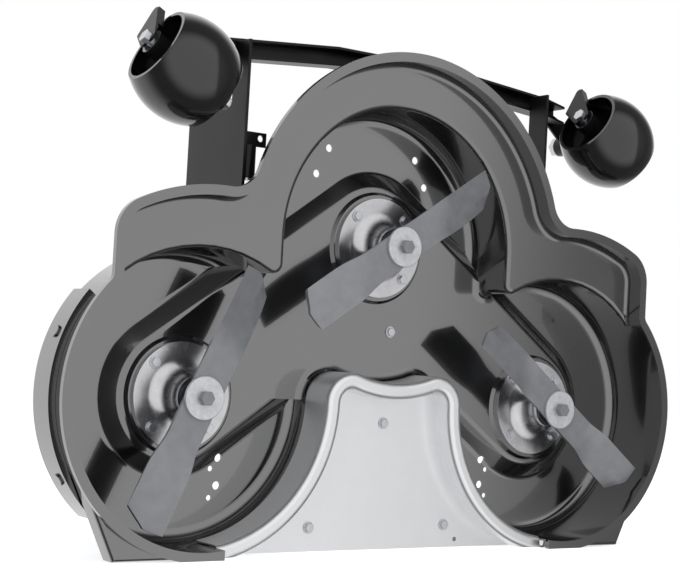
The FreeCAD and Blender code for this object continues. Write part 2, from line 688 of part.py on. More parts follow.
def deck_shell():
    """The pressed deck: outer form, less the air inside, less the recesses pressed from the top."""
    over = 5.0
    roof_top = ROOF + SHEET
    outer = chamber_volume(SHEET, RIM, roof_top)
    outer = outer.makeFillet(mm("roof_fillet") + SHEET, edges_at(outer, roof_top))
    brim = rim_volume(SHEET, RIM, BRIM + SHEET)
    brim = brim.makeFillet(mm("brim_fillet") + SHEET, edges_at(brim, BRIM + SHEET))
    lip = rim_volume(SHEET + mm("lip_width"), RIM, RIM + mm("lip_height"))
    lip_fillet = mm("lip_height") * 0.45
    lip = lip.makeFillet(lip_fillet, edges_at(lip, RIM) + edges_at(lip, RIM + mm("lip_height")))
    lip = lip.common(block(-2 * PITCH, 2 * PITCH, 0.0, 2 * FRONT_Z, RIM - 1, RIM + 2 * mm("lip_height")))
    right_foot = foot()
    left_foot = right_foot.mirror(Vector(), Vector(1, 0, 0))
    outer = outer.fuse([brim, lip, right_foot, left_foot])
    air = chamber_volume(0.0, RIM - over, ROOF)
    air = air.makeFillet(mm("roof_fillet"), edges_at(air, ROOF))
    hollow = rim_volume(0.0, RIM - over, BRIM)
    hollow = hollow.makeFillet(mm("brim_fillet"), edges_at(hollow, BRIM))
    low = PLATEAU
    air = air.cut(belt_recess(0.0, low, ROOF + over))
    outer = outer.cut(belt_recess(SHEET, low + SHEET, roof_top + over))
    seat = mm("flange_gauge")
    for _, x, z, _ in SPINDLES:
        air = air.cut(seat_volume(x.value, z.value, 0.0, seat, low))
        outer = outer.cut(seat_volume(x.value, z.value, 1.2, seat + SHEET, low + SHEET))
    outer = outer.cut(baffle_opening(0.0, RIM - over, -mm("land_drop")))
    land = baffle_opening(0.0, -mm("land_drop"), -mm("land_drop") + SHEET)
    reach = REAR_OPENING.value
    apron = block(-reach, reach, 0.0, SHEET, -mm("land_drop"), mm("apron_height"))
    shell = outer.fuse([land, apron]).cut(air.fuse(hollow))
    return shell.cut(deck_holes())


def deck_holes():
    """Spindle openings, bolt holes and the roof holes of the deck."""
    low, high = -mm("rim_drop") / 2, ROOF + 2 * SHEET
    gap = mm("free_gap")
    bolt = mm("housing_bolt_radius") + gap
    holes = [disc(mm("pivot_x"), PIVOT_Z.value, bolt, low, high)]
    for _, x, z, _ in SPINDLES:
        holes.append(disc(x.value, z.value, BARREL_RADIUS.value + gap, low, high))
        for turn in QUARTER_TURNS:
            place_of_bolt = arc_point((x.value, z.value), BOLT_CIRCLE.value, turn)
            holes.append(disc(place_of_bolt.x, place_of_bolt.z, bolt, low, high))
    for side in (-1, 1):
        for dx, dz, large in SIDE_VENTS:
            radius = mm("vent_radius") if large else mm("small_vent_radius")
            holes.append(disc(side * (PITCH + dx), REAR_Z + dz, radius, low, high))
        for dx, dz, _ in CENTRE_VENTS:
            holes.append(disc(side * dx, FRONT_Z + dz, mm("vent_radius"), low, high))
    for x, z in baffle_bolt_places():
        holes.append(disc(x.value, z.value, bolt, low, high))
    for turn in cover_bolt_turns():
        inward = Part.makeCylinder(bolt, 4 * mm("lip_width"), Vector(), Vector(1, 0, 0))
        inward.translate(Vector(mm("chamber_radius") - SHEET, mm("cover_near") / 2, 0))
        inward.rotate(Vector(), UP, -turn)
        inward.translate(Vector(-PITCH, 0, REAR_Z))
        holes.append(inward)
    return Part.makeCompound(holes)


def cover_bolt_turns():
    """Directions of the side cover's two bolts, in degrees from +X about the left spindle."""
    start, sweep = mm("cover_start"), mm("cover_sweep")
    return start + 0.2 * sweep, start + 0.8 * sweep


def baffle_bolt_places():
    """The three bolts that hold the rear baffle."""
    reach = cell("baffle_bolt_reach")
    lower = cell("baffle_bolt_lower")
    return (as_size(0.0), cell("baffle_bolt_upper")), (-reach, lower), (reach, lower)


def rear_baffle():
    """Bright rear baffle: a tray with a rounded ridge and an outer leg against the deck's wall."""
    gauge = mm("baffle_gauge")
    crest = -mm("baffle_drop")
    floor = -mm("land_drop") - gauge
    leg_end = -mm("baffle_leg")
    outside = -mm("baffle_clearance") - gauge
    inside = outside + mm("baffle_ridge")
    fillet = mm("baffle_fillet")
    reach = REAR_OPENING.value

    def on_wall(point):
        return abs(point.x) < reach - 0.5 and point.z > 0.5

    skin = baffle_opening(outside, crest, leg_end)
    skin = skin.makeFillet(fillet, edges_at(skin, crest, on_wall))
    tray = baffle_opening(inside, crest - 1, floor)
    body = skin.cut(tray)
    body = body.makeFillet(fillet, edges_at(body, crest, lambda p: on_wall(p) and inner_edge(p, inside)))
    void = baffle_opening(outside + gauge, crest + gauge, leg_end + 1)
    void = void.cut(baffle_opening(inside - gauge, crest - 2, floor + gauge))
    void = void.makeFillet(fillet - gauge, edges_at(void, crest + gauge, on_wall))
    body = body.cut(void)
    bolt = mm("housing_bolt_radius") + mm("free_gap")
    for x, z in baffle_bolt_places():
        body = body.cut(disc(x.value, z.value, bolt, floor - 1, floor + 2 * gauge))
    drain = mm("baffle_drain_radius")
    return body.cut(disc(mm("baffle_drain_x"), mm("baffle_drain_z"), drain, floor - 1, floor + 2 * gauge))


def inner_edge(point, grow):
    """True on the outline that the chambers leave when they are grown."""
    radius = mm("chamber_radius") + grow
    middles = ((0, FRONT_Z), (PITCH, REAR_Z), (-PITCH, REAR_Z))
    return min(math.hypot(point.x - x, point.z - z) for x, z in middles) > radius - 0.5


def blade_section(station, width, twist, curl, bevel):
    """Section of the blade across its length: sharpened leading side, lifted trailing side."""
    gauge = mm("blade_gauge")
    wing = mm("wing_width")
    lift = math.radians(curl)
    half = width / 2
    bend = wing - half
    back, rise = bend - wing * math.cos(lift), wing * math.sin(lift)
    outline = (
        (half, 0.0), (bend, 0.0), (back, rise),
        (back + gauge * math.sin(lift), rise + gauge * math.cos(lift)),
        (bend + gauge * math.tan(lift / 2), gauge), (half - bevel, gauge),
    )
    turn = math.radians(twist)
    points = []
    for across, up in outline:
        height = up - gauge / 2
        points.append(Vector(
            station,
            gauge / 2 + height * math.cos(turn) - across * math.sin(turn),
            across * math.cos(turn) + height * math.sin(turn),
        ))
    return Part.makePolygon(points + points[:1])


def blade():
    """Flat hub, twisted arms and sails that lift towards their cut corners."""
    steps = 6
    start, length = mm("twist_start"), mm("twist_length")
    reach = BLADE_REACH.value
    narrow, wide = mm("blade_width"), mm("sail_width")
    blunt = 0.1 * mm("blade_gauge")
    sections = [blade_section(0.0, narrow, 0.0, 0.0, blunt)]
    for step in range(steps + 1):
        share = step / steps
        ease = share * share * (3 - 2 * share)
        sections.append(blade_section(
            start + length * share, narrow + (wide - narrow) * ease,
            mm("blade_twist") * ease, 0.0, blunt + (mm("bevel_width") - blunt) * ease,
        ))
    sail = reach - start - length
    for step in range(1, steps + 1):
        share = step / steps
        sections.append(blade_section(
            start + length + sail * share, wide, mm("blade_twist"), mm("wing_curl") * share * share,
            mm("bevel_width"),
        ))
    arm = Part.makeLoft(sections, True, True)
    deep = 5 * mm("blade_gauge")
    tip = Part.makeCylinder(reach, 2 * deep, Vector(0, -deep, 0), UP)
    cut_start = reach - mm("tip_cut_length")
    cut_side = mm("tip_cut_width") - wide / 2
    clip = prism((
        (cut_start, -wide), (cut_start, -wide / 2), (reach, cut_side),
        (reach + deep, cut_side), (reach + deep, -wide),
    ), -deep, deep)
    arm = arm.common(tip).cut(clip)
    other = arm.copy()
    other.rotate(Vector(), UP, 180)
    hole = Part.makeCylinder(mm("blade_bolt_radius") + 0.3, 3 * deep, Vector(0, -deep, 0), UP)
    return arm.fuse(other).removeSplitter().cut(hole)


def housing(name, x, z):
    """Flared, flanged spindle housing with a bearing pocket at each end."""
    nose = -cell("nose_drop")
    pocket = cell("bearing_radius")
    core = pocket - cell("bearing_step")
    width = cell("bearing_width")
    cone_foot = BOLT_CIRCLE - cell("bolt_flange_radius") - cell("cone_gap")
    cone_nose = CAP_RADIUS + cell("nose_wall")
    rise = cell("nose_drop") - cell("nose_band")
    run = cone_foot - cone_nose
    flare = (run * run + rise * rise) / (rise * 2)
    return turned("spindle_housing_" + name, (
        (cell("flange_radius"), cell("flange_gauge")),
        (BARREL_RADIUS, cell("flange_gauge")),
        (BARREL_RADIUS, cell("barrel_top")),
        (pocket, cell("barrel_top")),
        (pocket, cell("barrel_top") - width),
        (core, cell("barrel_top") - width),
        (core, nose + cell("cap_width") + width),
        (pocket, nose + cell("cap_width") + width),
        (pocket, nose + cell("cap_width")),
        (CAP_RADIUS, nose + cell("cap_width")),
        (CAP_RADIUS, nose),
        (cone_nose, nose),
        (cone_nose, nose + cell("nose_band"), flare, -1),
        (cone_foot, 0.0),
        (cell("flange_radius"), 0.0),
    ), x, 0.0, z)


def bearing(label, x, y, z):
    """Sealed ball bearing, as one ring with a stepped face."""
    bore = cell("shaft_radius") + cell("running_gap")
    width = cell("bearing_width")
    return turned(label, (
        (bore, 0.0), (bore + 4.0, 0.0), (bore + 4.0, 0.8), (cell("bearing_radius") - 3.0, 0.8),
        (cell("bearing_radius") - 3.0, 0.0), (cell("bearing_radius"), 0.0), (cell("bearing_radius"), width),
        (bore, width),
    ), x, y, z)


def shaft(name, x, z, top):
    """Spindle shaft with its shoulder above the blade and a tapped end."""
    foot_y = -cell("shaft_foot")
    nose = -cell("nose_drop")
    tapped = cell("blade_bolt_radius") + cell("running_gap")
    depth = cell("blade_bolt_length")
    shoulder, journal = cell("shoulder_radius"), cell("shaft_radius")
    step = nose + cell("cap_width") - 0.5
    return turned("spindle_shaft_" + name, (
        (tapped, foot_y), (shoulder, foot_y), (shoulder, nose - 3.0), (journal + 3.0, nose - 3.0),
        (journal + 3.0, step), (journal, step), (journal, top), (0.0, top),
        (0.0, foot_y + depth), (tapped, foot_y + depth),
    ), x, 0.0, z)


def dust_cap(name, x, z):
    """Black seal ring in the nose of the housing."""
    bore = cell("shaft_radius") + 3.5
    nose = -cell("nose_drop")
    return turned("dust_cap_" + name, (
        (bore, nose - 1.5), (CAP_RADIUS - 4.0, nose - 1.5), (CAP_RADIUS, nose),
        (CAP_RADIUS, nose + cell("cap_width")), (bore, nose + cell("cap_width")),
    ), x, 0.0, z)


def nut(label, bore, x, y, z):
    """Hexagon nut resting on the height y."""
    across, height = cell("nut_across"), cell("nut_height")
    body = hexagon(label + "_hexagon", across, height, x, y, z, TOWARDS_TOP)
    return cut_from(label, body, rod(label + "_bore", bore, height, x, y, z))


def cut_from(label, base, tool):
    """A sub-part made by taking one object from another."""
    cut = doc.addObject("Part::Cut", label)
    cut.Base = base
    cut.Tool = tool
    return cut


def groove_corners(middle):
    """Half the outline of one V groove and its cheeks, from low to high."""
    half = cell("belt_width") * 0.5 + cell("belt_gap")
    floor_half = half - (cell("pulley_radius") - GROOVE_RADIUS) * math.tan(math.radians(18))
    cheek = cell("pulley_cheek")
    return [
        (cell("pulley_radius"), middle - half - cheek), (cell("pulley_radius"), middle - half),
        (GROOVE_RADIUS, middle - floor_half), (GROOVE_RADIUS, middle + floor_half),
        (cell("pulley_radius"), middle + half), (cell("pulley_radius"), middle + half + cheek),
    ]


def pulley(name, x, z, top):
    """V pulley on its hub; the centre one has a second groove for the drive."""
    middle = cell("belt_height")
    low = cell("barrel_top") + 2.0
    bore = cell("shaft_radius")
    hub = cell("pulley_hub")
    web = cell("pulley_web") * 0.5
    ring = GROOVE_RADIUS - 6.0
    half = cell("belt_width") * 0.5 + cell("belt_gap") + cell("pulley_cheek")
    corners = [(bore, low), (hub, low), (hub, middle - web), (ring, middle - web), (ring, middle - half)]
    corners += groove_corners(middle)
    last = middle
    if name == "centre":
        last = middle + cell("drive_spacing")
        corners += groove_corners(last)
    corners += [(ring, last + half), (ring, middle + web), (hub, middle + web), (hub, top), (bore, top)]
    return turned("pulley_" + name, corners, x, 0.0, z)


def spindle(name, x, z, turn):
    """Everything that turns about, or carries, one blade axis."""
    nose = -cell("nose_drop")
    drive = cell("drive_spacing") if name == "centre" else as_size(0.0)
    hub_top = cell("belt_height") + cell("belt_width") + drive
    housing(name, x, z)
    bearing("lower_bearing_" + name, x, nose + cell("cap_width"), z)
    bearing("upper_bearing_" + name, x, cell("barrel_top") - cell("bearing_width"), z)
    dust_cap(name, x, z)
    shaft(name, x, z, hub_top + cell("nut_height") + 3.0)
    pulley(name, x, z, hub_top)
    nut("pulley_nut_" + name, cell("shaft_radius"), x, hub_top, z)
    bolts = []
    for index, quarter in enumerate(QUARTER_TURNS):
        angle = math.radians(quarter)
        bolt_x = x + BOLT_CIRCLE * math.cos(angle)
        bolt_z = z + BOLT_CIRCLE * math.sin(angle)
        length = cell("flange_gauge") + cell("sheet") + 6.0
        bolts.append(small_bolt("housing_bolt_%s_%d" % (name, index), bolt_x, 0.0, bolt_z, length))
    grouped("housing_bolts_" + name, bolts)
    blade_y = -cell("shaft_foot") - cell("blade_gauge")
    item = finished("blade_" + name, blade())
    place(item, x, blade_y, z, FreeCAD.Rotation(UP, -turn.value))
    rim, thick = cell("washer_radius"), cell("washer_gauge")
    bore, length = cell("blade_bolt_radius") + 0.3, cell("blade_bolt_length")
    washer_y = blade_y - thick
    turned("blade_washer_" + name, (
        (bore, 0.0), (rim - 1.0, 0.0), (rim, 1.0), (rim, thick), (bore, thick),
    ), x, washer_y, z)
    label = "blade_bolt_" + name
    joined(label, [
        hexagon(label + "_hexagon", cell("blade_bolt_across"), cell("blade_bolt_head"), x, washer_y, z),
        rod(label + "_shank", cell("blade_bolt_radius"), length, x, washer_y, z),
    ])


def housing_holes():
    """Bolt holes through each housing's flange, polar about the spindle."""
    for name, _, _, _ in SPINDLES:
        body = doc.getObject("spindle_housing_" + name)
        sketch = new_sketch(body, "XZ_Plane", "housing_hole_" + name)
        away = BOLT_CIRCLE * math.cos(math.radians(45))
        add_circle(sketch, away, away, cell("housing_bolt_radius") + 0.3)
        pocket = body.newObject("PartDesign::Pocket", "housing_pocket_" + name)
        pocket.Profile = sketch
        pocket.Type = "ThroughAll"
        pocket.Midplane = True
        doc.recompute()
        pattern = body.newObject("PartDesign::PolarPattern", "housing_pattern_" + name)
        pattern.Originals = [pocket]
        pattern.Axis = (sketch, ["N_Axis"])
        pattern.Angle = 360
        pattern.Occurrences = len(QUARTER_TURNS)
        body.Tip = pattern


def belt_route():
    """Circles that the belt passes, in order: x, z, radius to its inside, inside or outside."""
    inside = mm("pulley_radius") - mm("belt_depth") + mm("belt_gap")
    idler_x, idler_z = idler_place()
    return (
        (-PITCH, REAR_Z, inside, 1), (0.0, FRONT_Z, inside, 1), (PITCH, REAR_Z, inside, 1),
        (idler_x.value, idler_z.value, mm("idler_radius") + mm("belt_gap") + mm("belt_depth"), -1),
    )


def idler_place():
    """Centre of the idler pulley, behind the belt's rear run."""
    outside = cell("pulley_radius") + cell("belt_gap")
    return cell("idler_x"), SIDE_Z - outside + cell("idler_push") - cell("idler_radius")


def belt_loop(grow, height):
    """Closed wire of the belt, grown outwards, at one height."""
    route = belt_route()
    touches = []
    for index, (x, z, radius, wrap) in enumerate(route):
        next_x, next_z, next_radius, next_wrap = route[(index + 1) % len(route)]
        first, second = wrap * radius + grow, next_wrap * next_radius + grow
        dx, dz = next_x - x, next_z - z
        gap = math.hypot(dx, dz)
        turn = math.atan2(dz, dx) + math.acos((first - second) / gap)
        ux, uz = math.cos(turn), math.sin(turn)
        touches.append((
            Vector(x + first * ux, height, z + first * uz),
            Vector(next_x + second * ux, height, next_z + second * uz),
        ))
    edges = []
    for index, (start, end) in enumerate(touches):
        edges.append(Part.LineSegment(start, end).toShape())
        x, z, radius, wrap = route[(index + 1) % len(route)]
        centre = Vector(x, height, z)
        following = touches[(index + 1) % len(touches)][0]
        bulge = (end - centre) + (following - centre)
        bulge.normalize()
        reach = abs(wrap * radius + grow)
        edges.append(Part.Arc(end, centre + bulge * reach, following).toShape())
    return Part.Wire(edges)


def drive_belt():
    """V belt, widest at its back, lofted round its four edges."""
    middle = mm("belt_height")
    depth = mm("belt_depth")
    wide = mm("belt_width") / 2
    narrow = wide - depth * math.tan(math.radians(18))
    rings = [belt_loop(0.0, middle - narrow), belt_loop(depth, middle - wide)]
    rings += [belt_loop(depth, middle + wide), belt_loop(0.0, middle + narrow)]
    return Part.makeLoft(rings, True, True, True)


def torsion_spring():
    """Closed coil round the idler pivot."""
    wire = mm("spring_wire")
    pitch = 2 * wire + 0.5
    turns = 4
    helix = Part.makeHelix(pitch, turns * pitch, mm("spring_radius"))
    start = Vector(mm("spring_radius"), 0, 0)
    ring = Part.Wire([Part.makeCircle(wire, start, Vector(0, 1, 0))])
    return Part.Wire(helix.Edges).makePipeShell([ring], True, True)


def idler():
    """Flat idler pulley on its sprung arm, behind the belt's rear run."""
    x, z = idler_place()
    middle = cell("belt_height")
    half = cell("belt_width") * 0.5 + cell("belt_gap") + 1.0
    rim = cell("idler_radius")
    lip = rim + cell("idler_flange")
    journal = cell("pivot_radius")
    bore = journal + cell("running_gap")
    face = half + 2.0
    turned("idler_pulley", (
        (bore, -face), (lip, -face), (lip, -half), (rim, -half), (rim, half), (lip, half), (lip, face),
        (rim - 4.0, face), (rim - 4.0, -half + 3.0), (bore + 8.0, -half + 3.0), (bore + 8.0, face),
        (bore, face),
    ), x, middle, z)
    arm_top = cell("arm_height") + cell("arm_gauge")
    pulley_foot = middle - face - cell("belt_gap")
    rise, run = z - PIVOT_Z, x - cell("pivot_x")
    length = root(rise * rise + run * run)
    half_arm = cell("arm_width") * 0.5
    lean = FreeCAD.Rotation(UP, -math.degrees(math.atan2(rise.value, run.value)))
    flat = plate("idler_arm_flat", "XZ_Plane", (
        (0.0, half_arm), (length, half_arm, half_arm, -1),
        (length, -half_arm), (0.0, -half_arm, half_arm, -1),
    ), cell("arm_gauge"), ((0.0, 0.0, bore),), True, cell("pivot_x"), cell("arm_height"), PIVOT_Z, lean)
    arm_foot = cell("arm_height")
    boss = rod("idler_arm_boss", journal + 5.0, pulley_foot - arm_foot, x, arm_foot, z)
    solid_arm = joined("idler_arm_solid", [flat, boss])
    drill = rod("idler_arm_hole", journal + 0.3, middle - arm_foot, x, arm_foot - 1.0, z)
    cut_from("idler_arm", solid_arm, drill)
    thick, across = cell("nut_height"), cell("idler_bolt_across")
    bolt_low = arm_foot - thick
    bolt_high = middle + face + cell("belt_gap")
    joined("idler_bolt", [
        rod("idler_bolt_shank", journal, bolt_high - bolt_low + 3.0, x, bolt_low - 3.0, z),
        hexagon("idler_bolt_nut", across, thick, x, arm_foot, z),
        hexagon("idler_bolt_head", across, thick * 0.6, x, bolt_high, z, TOWARDS_TOP),
    ])
    deck_face = cell("plateau_height")
    deck_top = deck_face + cell("sheet")
    pivot_x, pivot_z = cell("pivot_x"), PIVOT_Z
    collar = journal + 4.0
    joined("idler_pivot", [
        small_bolt("idler_pivot_screw", pivot_x, deck_face, pivot_z, cell("sheet") + 4.0),
        rod("idler_pivot_collar", collar, arm_foot - 0.3 - deck_top, pivot_x, deck_top, pivot_z),
        rod("idler_pivot_journal", journal, arm_top + 0.6 - deck_top, pivot_x, deck_top, pivot_z),
        rod("idler_pivot_cap", collar, 5.0, pivot_x, arm_top + 0.3, pivot_z),
    ])
    spring_foot = deck_top + cell("spring_wire") + 0.4
    place(finished("idler_spring", torsion_spring()), pivot_x, spring_foot, pivot_z, TOWARDS_TOP)


def baffle_fasteners():
    """The baffle's three bolts and the two pins on the rear corner flanges."""
    gauge = cell("baffle_gauge")
    face = -cell("land_drop") - gauge
    length = gauge + cell("sheet") + 6.0
    bolts = []
    for index, (x, z) in enumerate(baffle_bolt_places()):
        bolts.append(small_bolt("baffle_bolt_%d" % index, x, face, z, length))
    grouped("baffle_bolts", bolts)
    pins = []
    for name, side in SIDES:
        y = -cell("foot_drop") + cell("pin_radius") + cell("sheet") + 4.0
        x = (cell("spindle_pitch") + cell("pin_offset")) * side
        no_turn = FreeCAD.Rotation()
        pins.append(rod("baffle_pin_" + name, cell("pin_radius"), 5.0, x, y, cell("sheet"), no_turn))
    grouped("baffle_pins", pins)


def side_cover():
    """Curved cover with turned-in edges, outside the left chamber's wall."""
    near, far = cell("cover_near"), cell("cover_far")
    outside = cell("chamber_radius") + cell("sheet") + cell("cover_stand")
    gauge = cell("cover_gauge")
    wall = cell("chamber_radius") + cell("sheet") + 0.3
    first = mm("cover_start")
    rotation = FreeCAD.Rotation(UP, -first - mm("cover_sweep"))
    band = turned("side_cover_band", (
        (wall, near), (outside, near), (outside, far), (wall, far), (wall, far - gauge),
        (outside - gauge, far - gauge), (outside - gauge, near + gauge), (wall, near + gauge),
    ), -cell("spindle_pitch"), 0.0, SIDE_Z, rotation, mm("cover_sweep"))
    drills, bolts = [], []
    shank = cell("housing_bolt_radius")
    for index, turn in enumerate(cover_bolt_turns()):
        angle = math.radians(turn)
        middle = near * 0.5
        outward = FreeCAD.Rotation(Vector(0, 0, 1), Vector(math.cos(angle), 0, math.sin(angle)))
        for name, radius, start, reach, kept in (
            ("hole", shank + 0.3, wall - 1.0, 40.0, drills),
            ("shank", shank, cell("chamber_radius") + 0.5, outside - cell("chamber_radius"), bolts),
            ("head", cell("bolt_flange_radius"), outside, 3.0, bolts),
        ):
            x = -cell("spindle_pitch") + as_size(start) * math.cos(angle)
            z = SIDE_Z + as_size(start) * math.sin(angle)
            kept.append(rod("cover_%s_%d" % (name, index), radius, reach, x, middle, z, outward))
    cut_from("side_cover", band, joined("side_cover_holes", drills))
    grouped("side_cover_bolts", [joined("cover_bolt_0", bolts[:2]), joined("cover_bolt_1", bolts[2:])])


def bent_outline(inset):
    """Front view of the beam: level in the middle, falling more steeply outside the knees."""
    top = BEAM_TOP - inset
    bottom = BEAM_TOP - cell("beam_height") + inset
    stations = ((cell("beam_flat"), as_size(0.0)), (cell("beam_knee"), cell("beam_knee_fall")))
    stations += ((cell("beam_end"), cell("beam_end_fall")),)
    corners = [(-x, top - fall) for x, fall in reversed(stations)]
    corners += [(x, top - fall) for x, fall in stations]
    corners += [(x, bottom - fall) for x, fall in reversed(stations)]
    return corners + [(-x, bottom - fall) for x, fall in stations]


def front_beam():
    """Bent channel, open towards -Y, with a stem socket welded under each end."""
    near, depth, wall = cell("beam_near"), cell("beam_depth"), cell("beam_wall")
    web = near + depth - wall
    channel = plate("beam_outside", "XZ_Plane", bent_outline(as_size(0.0)), depth, (), True, 0.0, near)
    hollow = plate("beam_inside", "XZ_Plane", bent_outline(wall), depth - wall, (), True, 0.0, near)
    channel = cut_from("beam_channel", channel, hollow)
    pieces, drills = [channel], []
    low = YOKE_TOP + cell("yoke_gauge") + cell("socket_gap")
    for name, side in SIDES:
        x = WHEEL_X * side
        start = (cell("beam_end") - 18.0) * side
        high = BEAM_TOP - cell("beam_end_fall")
        socket = cell("socket_radius") * side
        lug = plate("beam_lug_" + name, "XZ_Plane", (
            (start, high - wall), (start, high - cell("beam_height") + wall), (x - socket, WHEEL_Z),
            (x + socket, WHEEL_Z), (x + socket, WHEEL_Z + cell("lug_rise")),
        ), wall, (), True, 0.0, web)
        tall = cell("socket_height")
        pieces += [lug, rod("beam_socket_" + name, cell("socket_radius"), tall, x, low, WHEEL_Z)]
        bore = cell("stem_radius") + cell("running_gap")
        drills.append(rod("beam_bore_" + name, bore, tall + 2.0, x, low - 1.0, WHEEL_Z))
    cut_from("front_beam", joined("beam_solid", pieces), joined("beam_bores", drills))


def hangers():
    """Upright plates from the brim to the beam, each with a foot, a tab and a barrel with its pin."""
    gauge = cell("hanger_gauge")
    face = -cell("brim_drop") + cell("sheet")
    arm_far = cell("beam_near")
    shoulder = BEAM_TOP - cell("hanger_shoulder")
    arm_end = BEAM_TOP - cell("hanger_lap")
    foot_z = HANGER_FOOT
    foot_length, depth = cell("hanger_foot_length"), cell("hanger_depth")
    barrel_z = foot_z + cell("hanger_barrel")
    pins = []
    for name, side in SIDES:
        inner = (cell("hanger_x") - gauge * 0.5) * side
        start = cell("hanger_x") * side - gauge * 0.5
        panel = plate("hanger_panel_" + name, "YZ_Plane", (
            (face, foot_z), (cell("hanger_heel"), foot_z), (depth, foot_z + cell("hanger_slant")),
            (depth, shoulder), (arm_far, shoulder), (arm_far, arm_end), (face + 2.0, arm_end),
            (face + 2.0, foot_z + foot_length + 10.0), (face, foot_z + foot_length + 5.0),
        ), gauge, (), False, start)
        reach = cell("hanger_foot_width")
        left_edge = inner if side < 0 else inner - reach
        foot_plate = box("hanger_foot_" + name, left_edge, face, foot_z, reach, gauge, foot_length)
        tab_z = barrel_z + cell("hanger_barrel_length")
        tab = box("hanger_tab_" + name, left_edge, face + 12.0, tab_z, reach, gauge * 0.8, 22.0)
        barrel_x = inner - (cell("hanger_barrel_radius") - 2.0) * side
        barrel_y = face + 14.0
        upright = FreeCAD.Rotation()
        tube, tall = cell("hanger_barrel_radius"), cell("hanger_barrel_length")
        barrel = rod("hanger_barrel_" + name, tube, tall + 1.0, barrel_x, barrel_y, barrel_z, upright)
        solid = joined("hanger_solid_" + name, [panel, foot_plate, tab, barrel])
        hole_x = inner - (reach - 10.0) * side
        pin_radius = cell("pin_radius") + 3.0
        drills = joined("hanger_holes_" + name, [
            rod("hanger_tab_hole_" + name, cell("pin_radius"), 20.0, hole_x, face + 8.0, tab_z + 13.0),
            rod("hanger_bore_" + name, pin_radius + 0.3, tall - 6.0, barrel_x, barrel_y, barrel_z, upright),
        ])
        cut_from("hanger_" + name, solid, drills)
        pin, head = "hanger_pin_shank_" + name, "hanger_pin_head_" + name
        pins.append(joined("hanger_pin_" + name, [
            rod(pin, pin_radius, 30.0, barrel_x, barrel_y, barrel_z, upright),
            rod(head, pin_radius + 2.0, 4.0, barrel_x, barrel_y, barrel_z - 4.0, upright),
        ]))
    grouped("hanger_pins", pins)


def box(name, x, y, z, length, width, height):
    """A bound box from its lowest corner."""
    item = doc.addObject("Part::Box", name)
    bind(item, "Length", length)
    bind(item, "Width", width)
    bind(item, "Height", height)
    place(item, x, y, z)
    return item


# Outline of the ear in its plane, forward along the wheel and up from the wheel's axis
EAR_CORNERS = ((12.0, 47.0, 6.0), (77.0, 46.0, 7.0), (2.0, -18.0, 9.0), (-14.0, 8.0, 9.0))


def wheel_ear():
    """Pointed ear with rounded corners and its lower edge folded towards the wheel."""
    gauge = mm("keeper_gauge")
    fold = mm("keeper_flange")
    face = HUB_HALF.value + mm("keeper_gap")
    points = [Vector(face, v, -u) for u, v, _ in EAR_CORNERS]
    flat = Part.Face(Part.makePolygon(points + points[:1])).extrude(Vector(gauge, 0, 0))
    for point, corner in zip(points, EAR_CORNERS):
        along = [edge for edge in flat.Edges if edge.Length < gauge + 0.01]
        nearest = min(along, key=lambda edge: (edge.CenterOfMass - point).Length)
        flat = flat.makeFillet(corner[2], [nearest])
    tip, heel = points[1], points[2]
    run = heel - tip
    inward = Vector(0, run.z, -run.y)
    inward.normalize()
    if inward.dot(points[0] - tip) < 0:
        inward = inward * -1
    start = tip + run * 0.12 + Vector(-fold, 0, 0)
    end = tip + run * 0.6 + Vector(-fold, 0, 0)
    strip = Part.makePolygon([start, end, end + inward * gauge, start + inward * gauge, start])
    folded = Part.Face(strip).extrude(Vector(fold + gauge * 0.5, 0, 0))
    bore = mm("axle_radius") + 0.3
    hole = Part.makeCylinder(bore, 4 * gauge, Vector(face - gauge, 0, 0), Vector(1, 0, 0))
    return flat.fuse(folded).cut(hole)


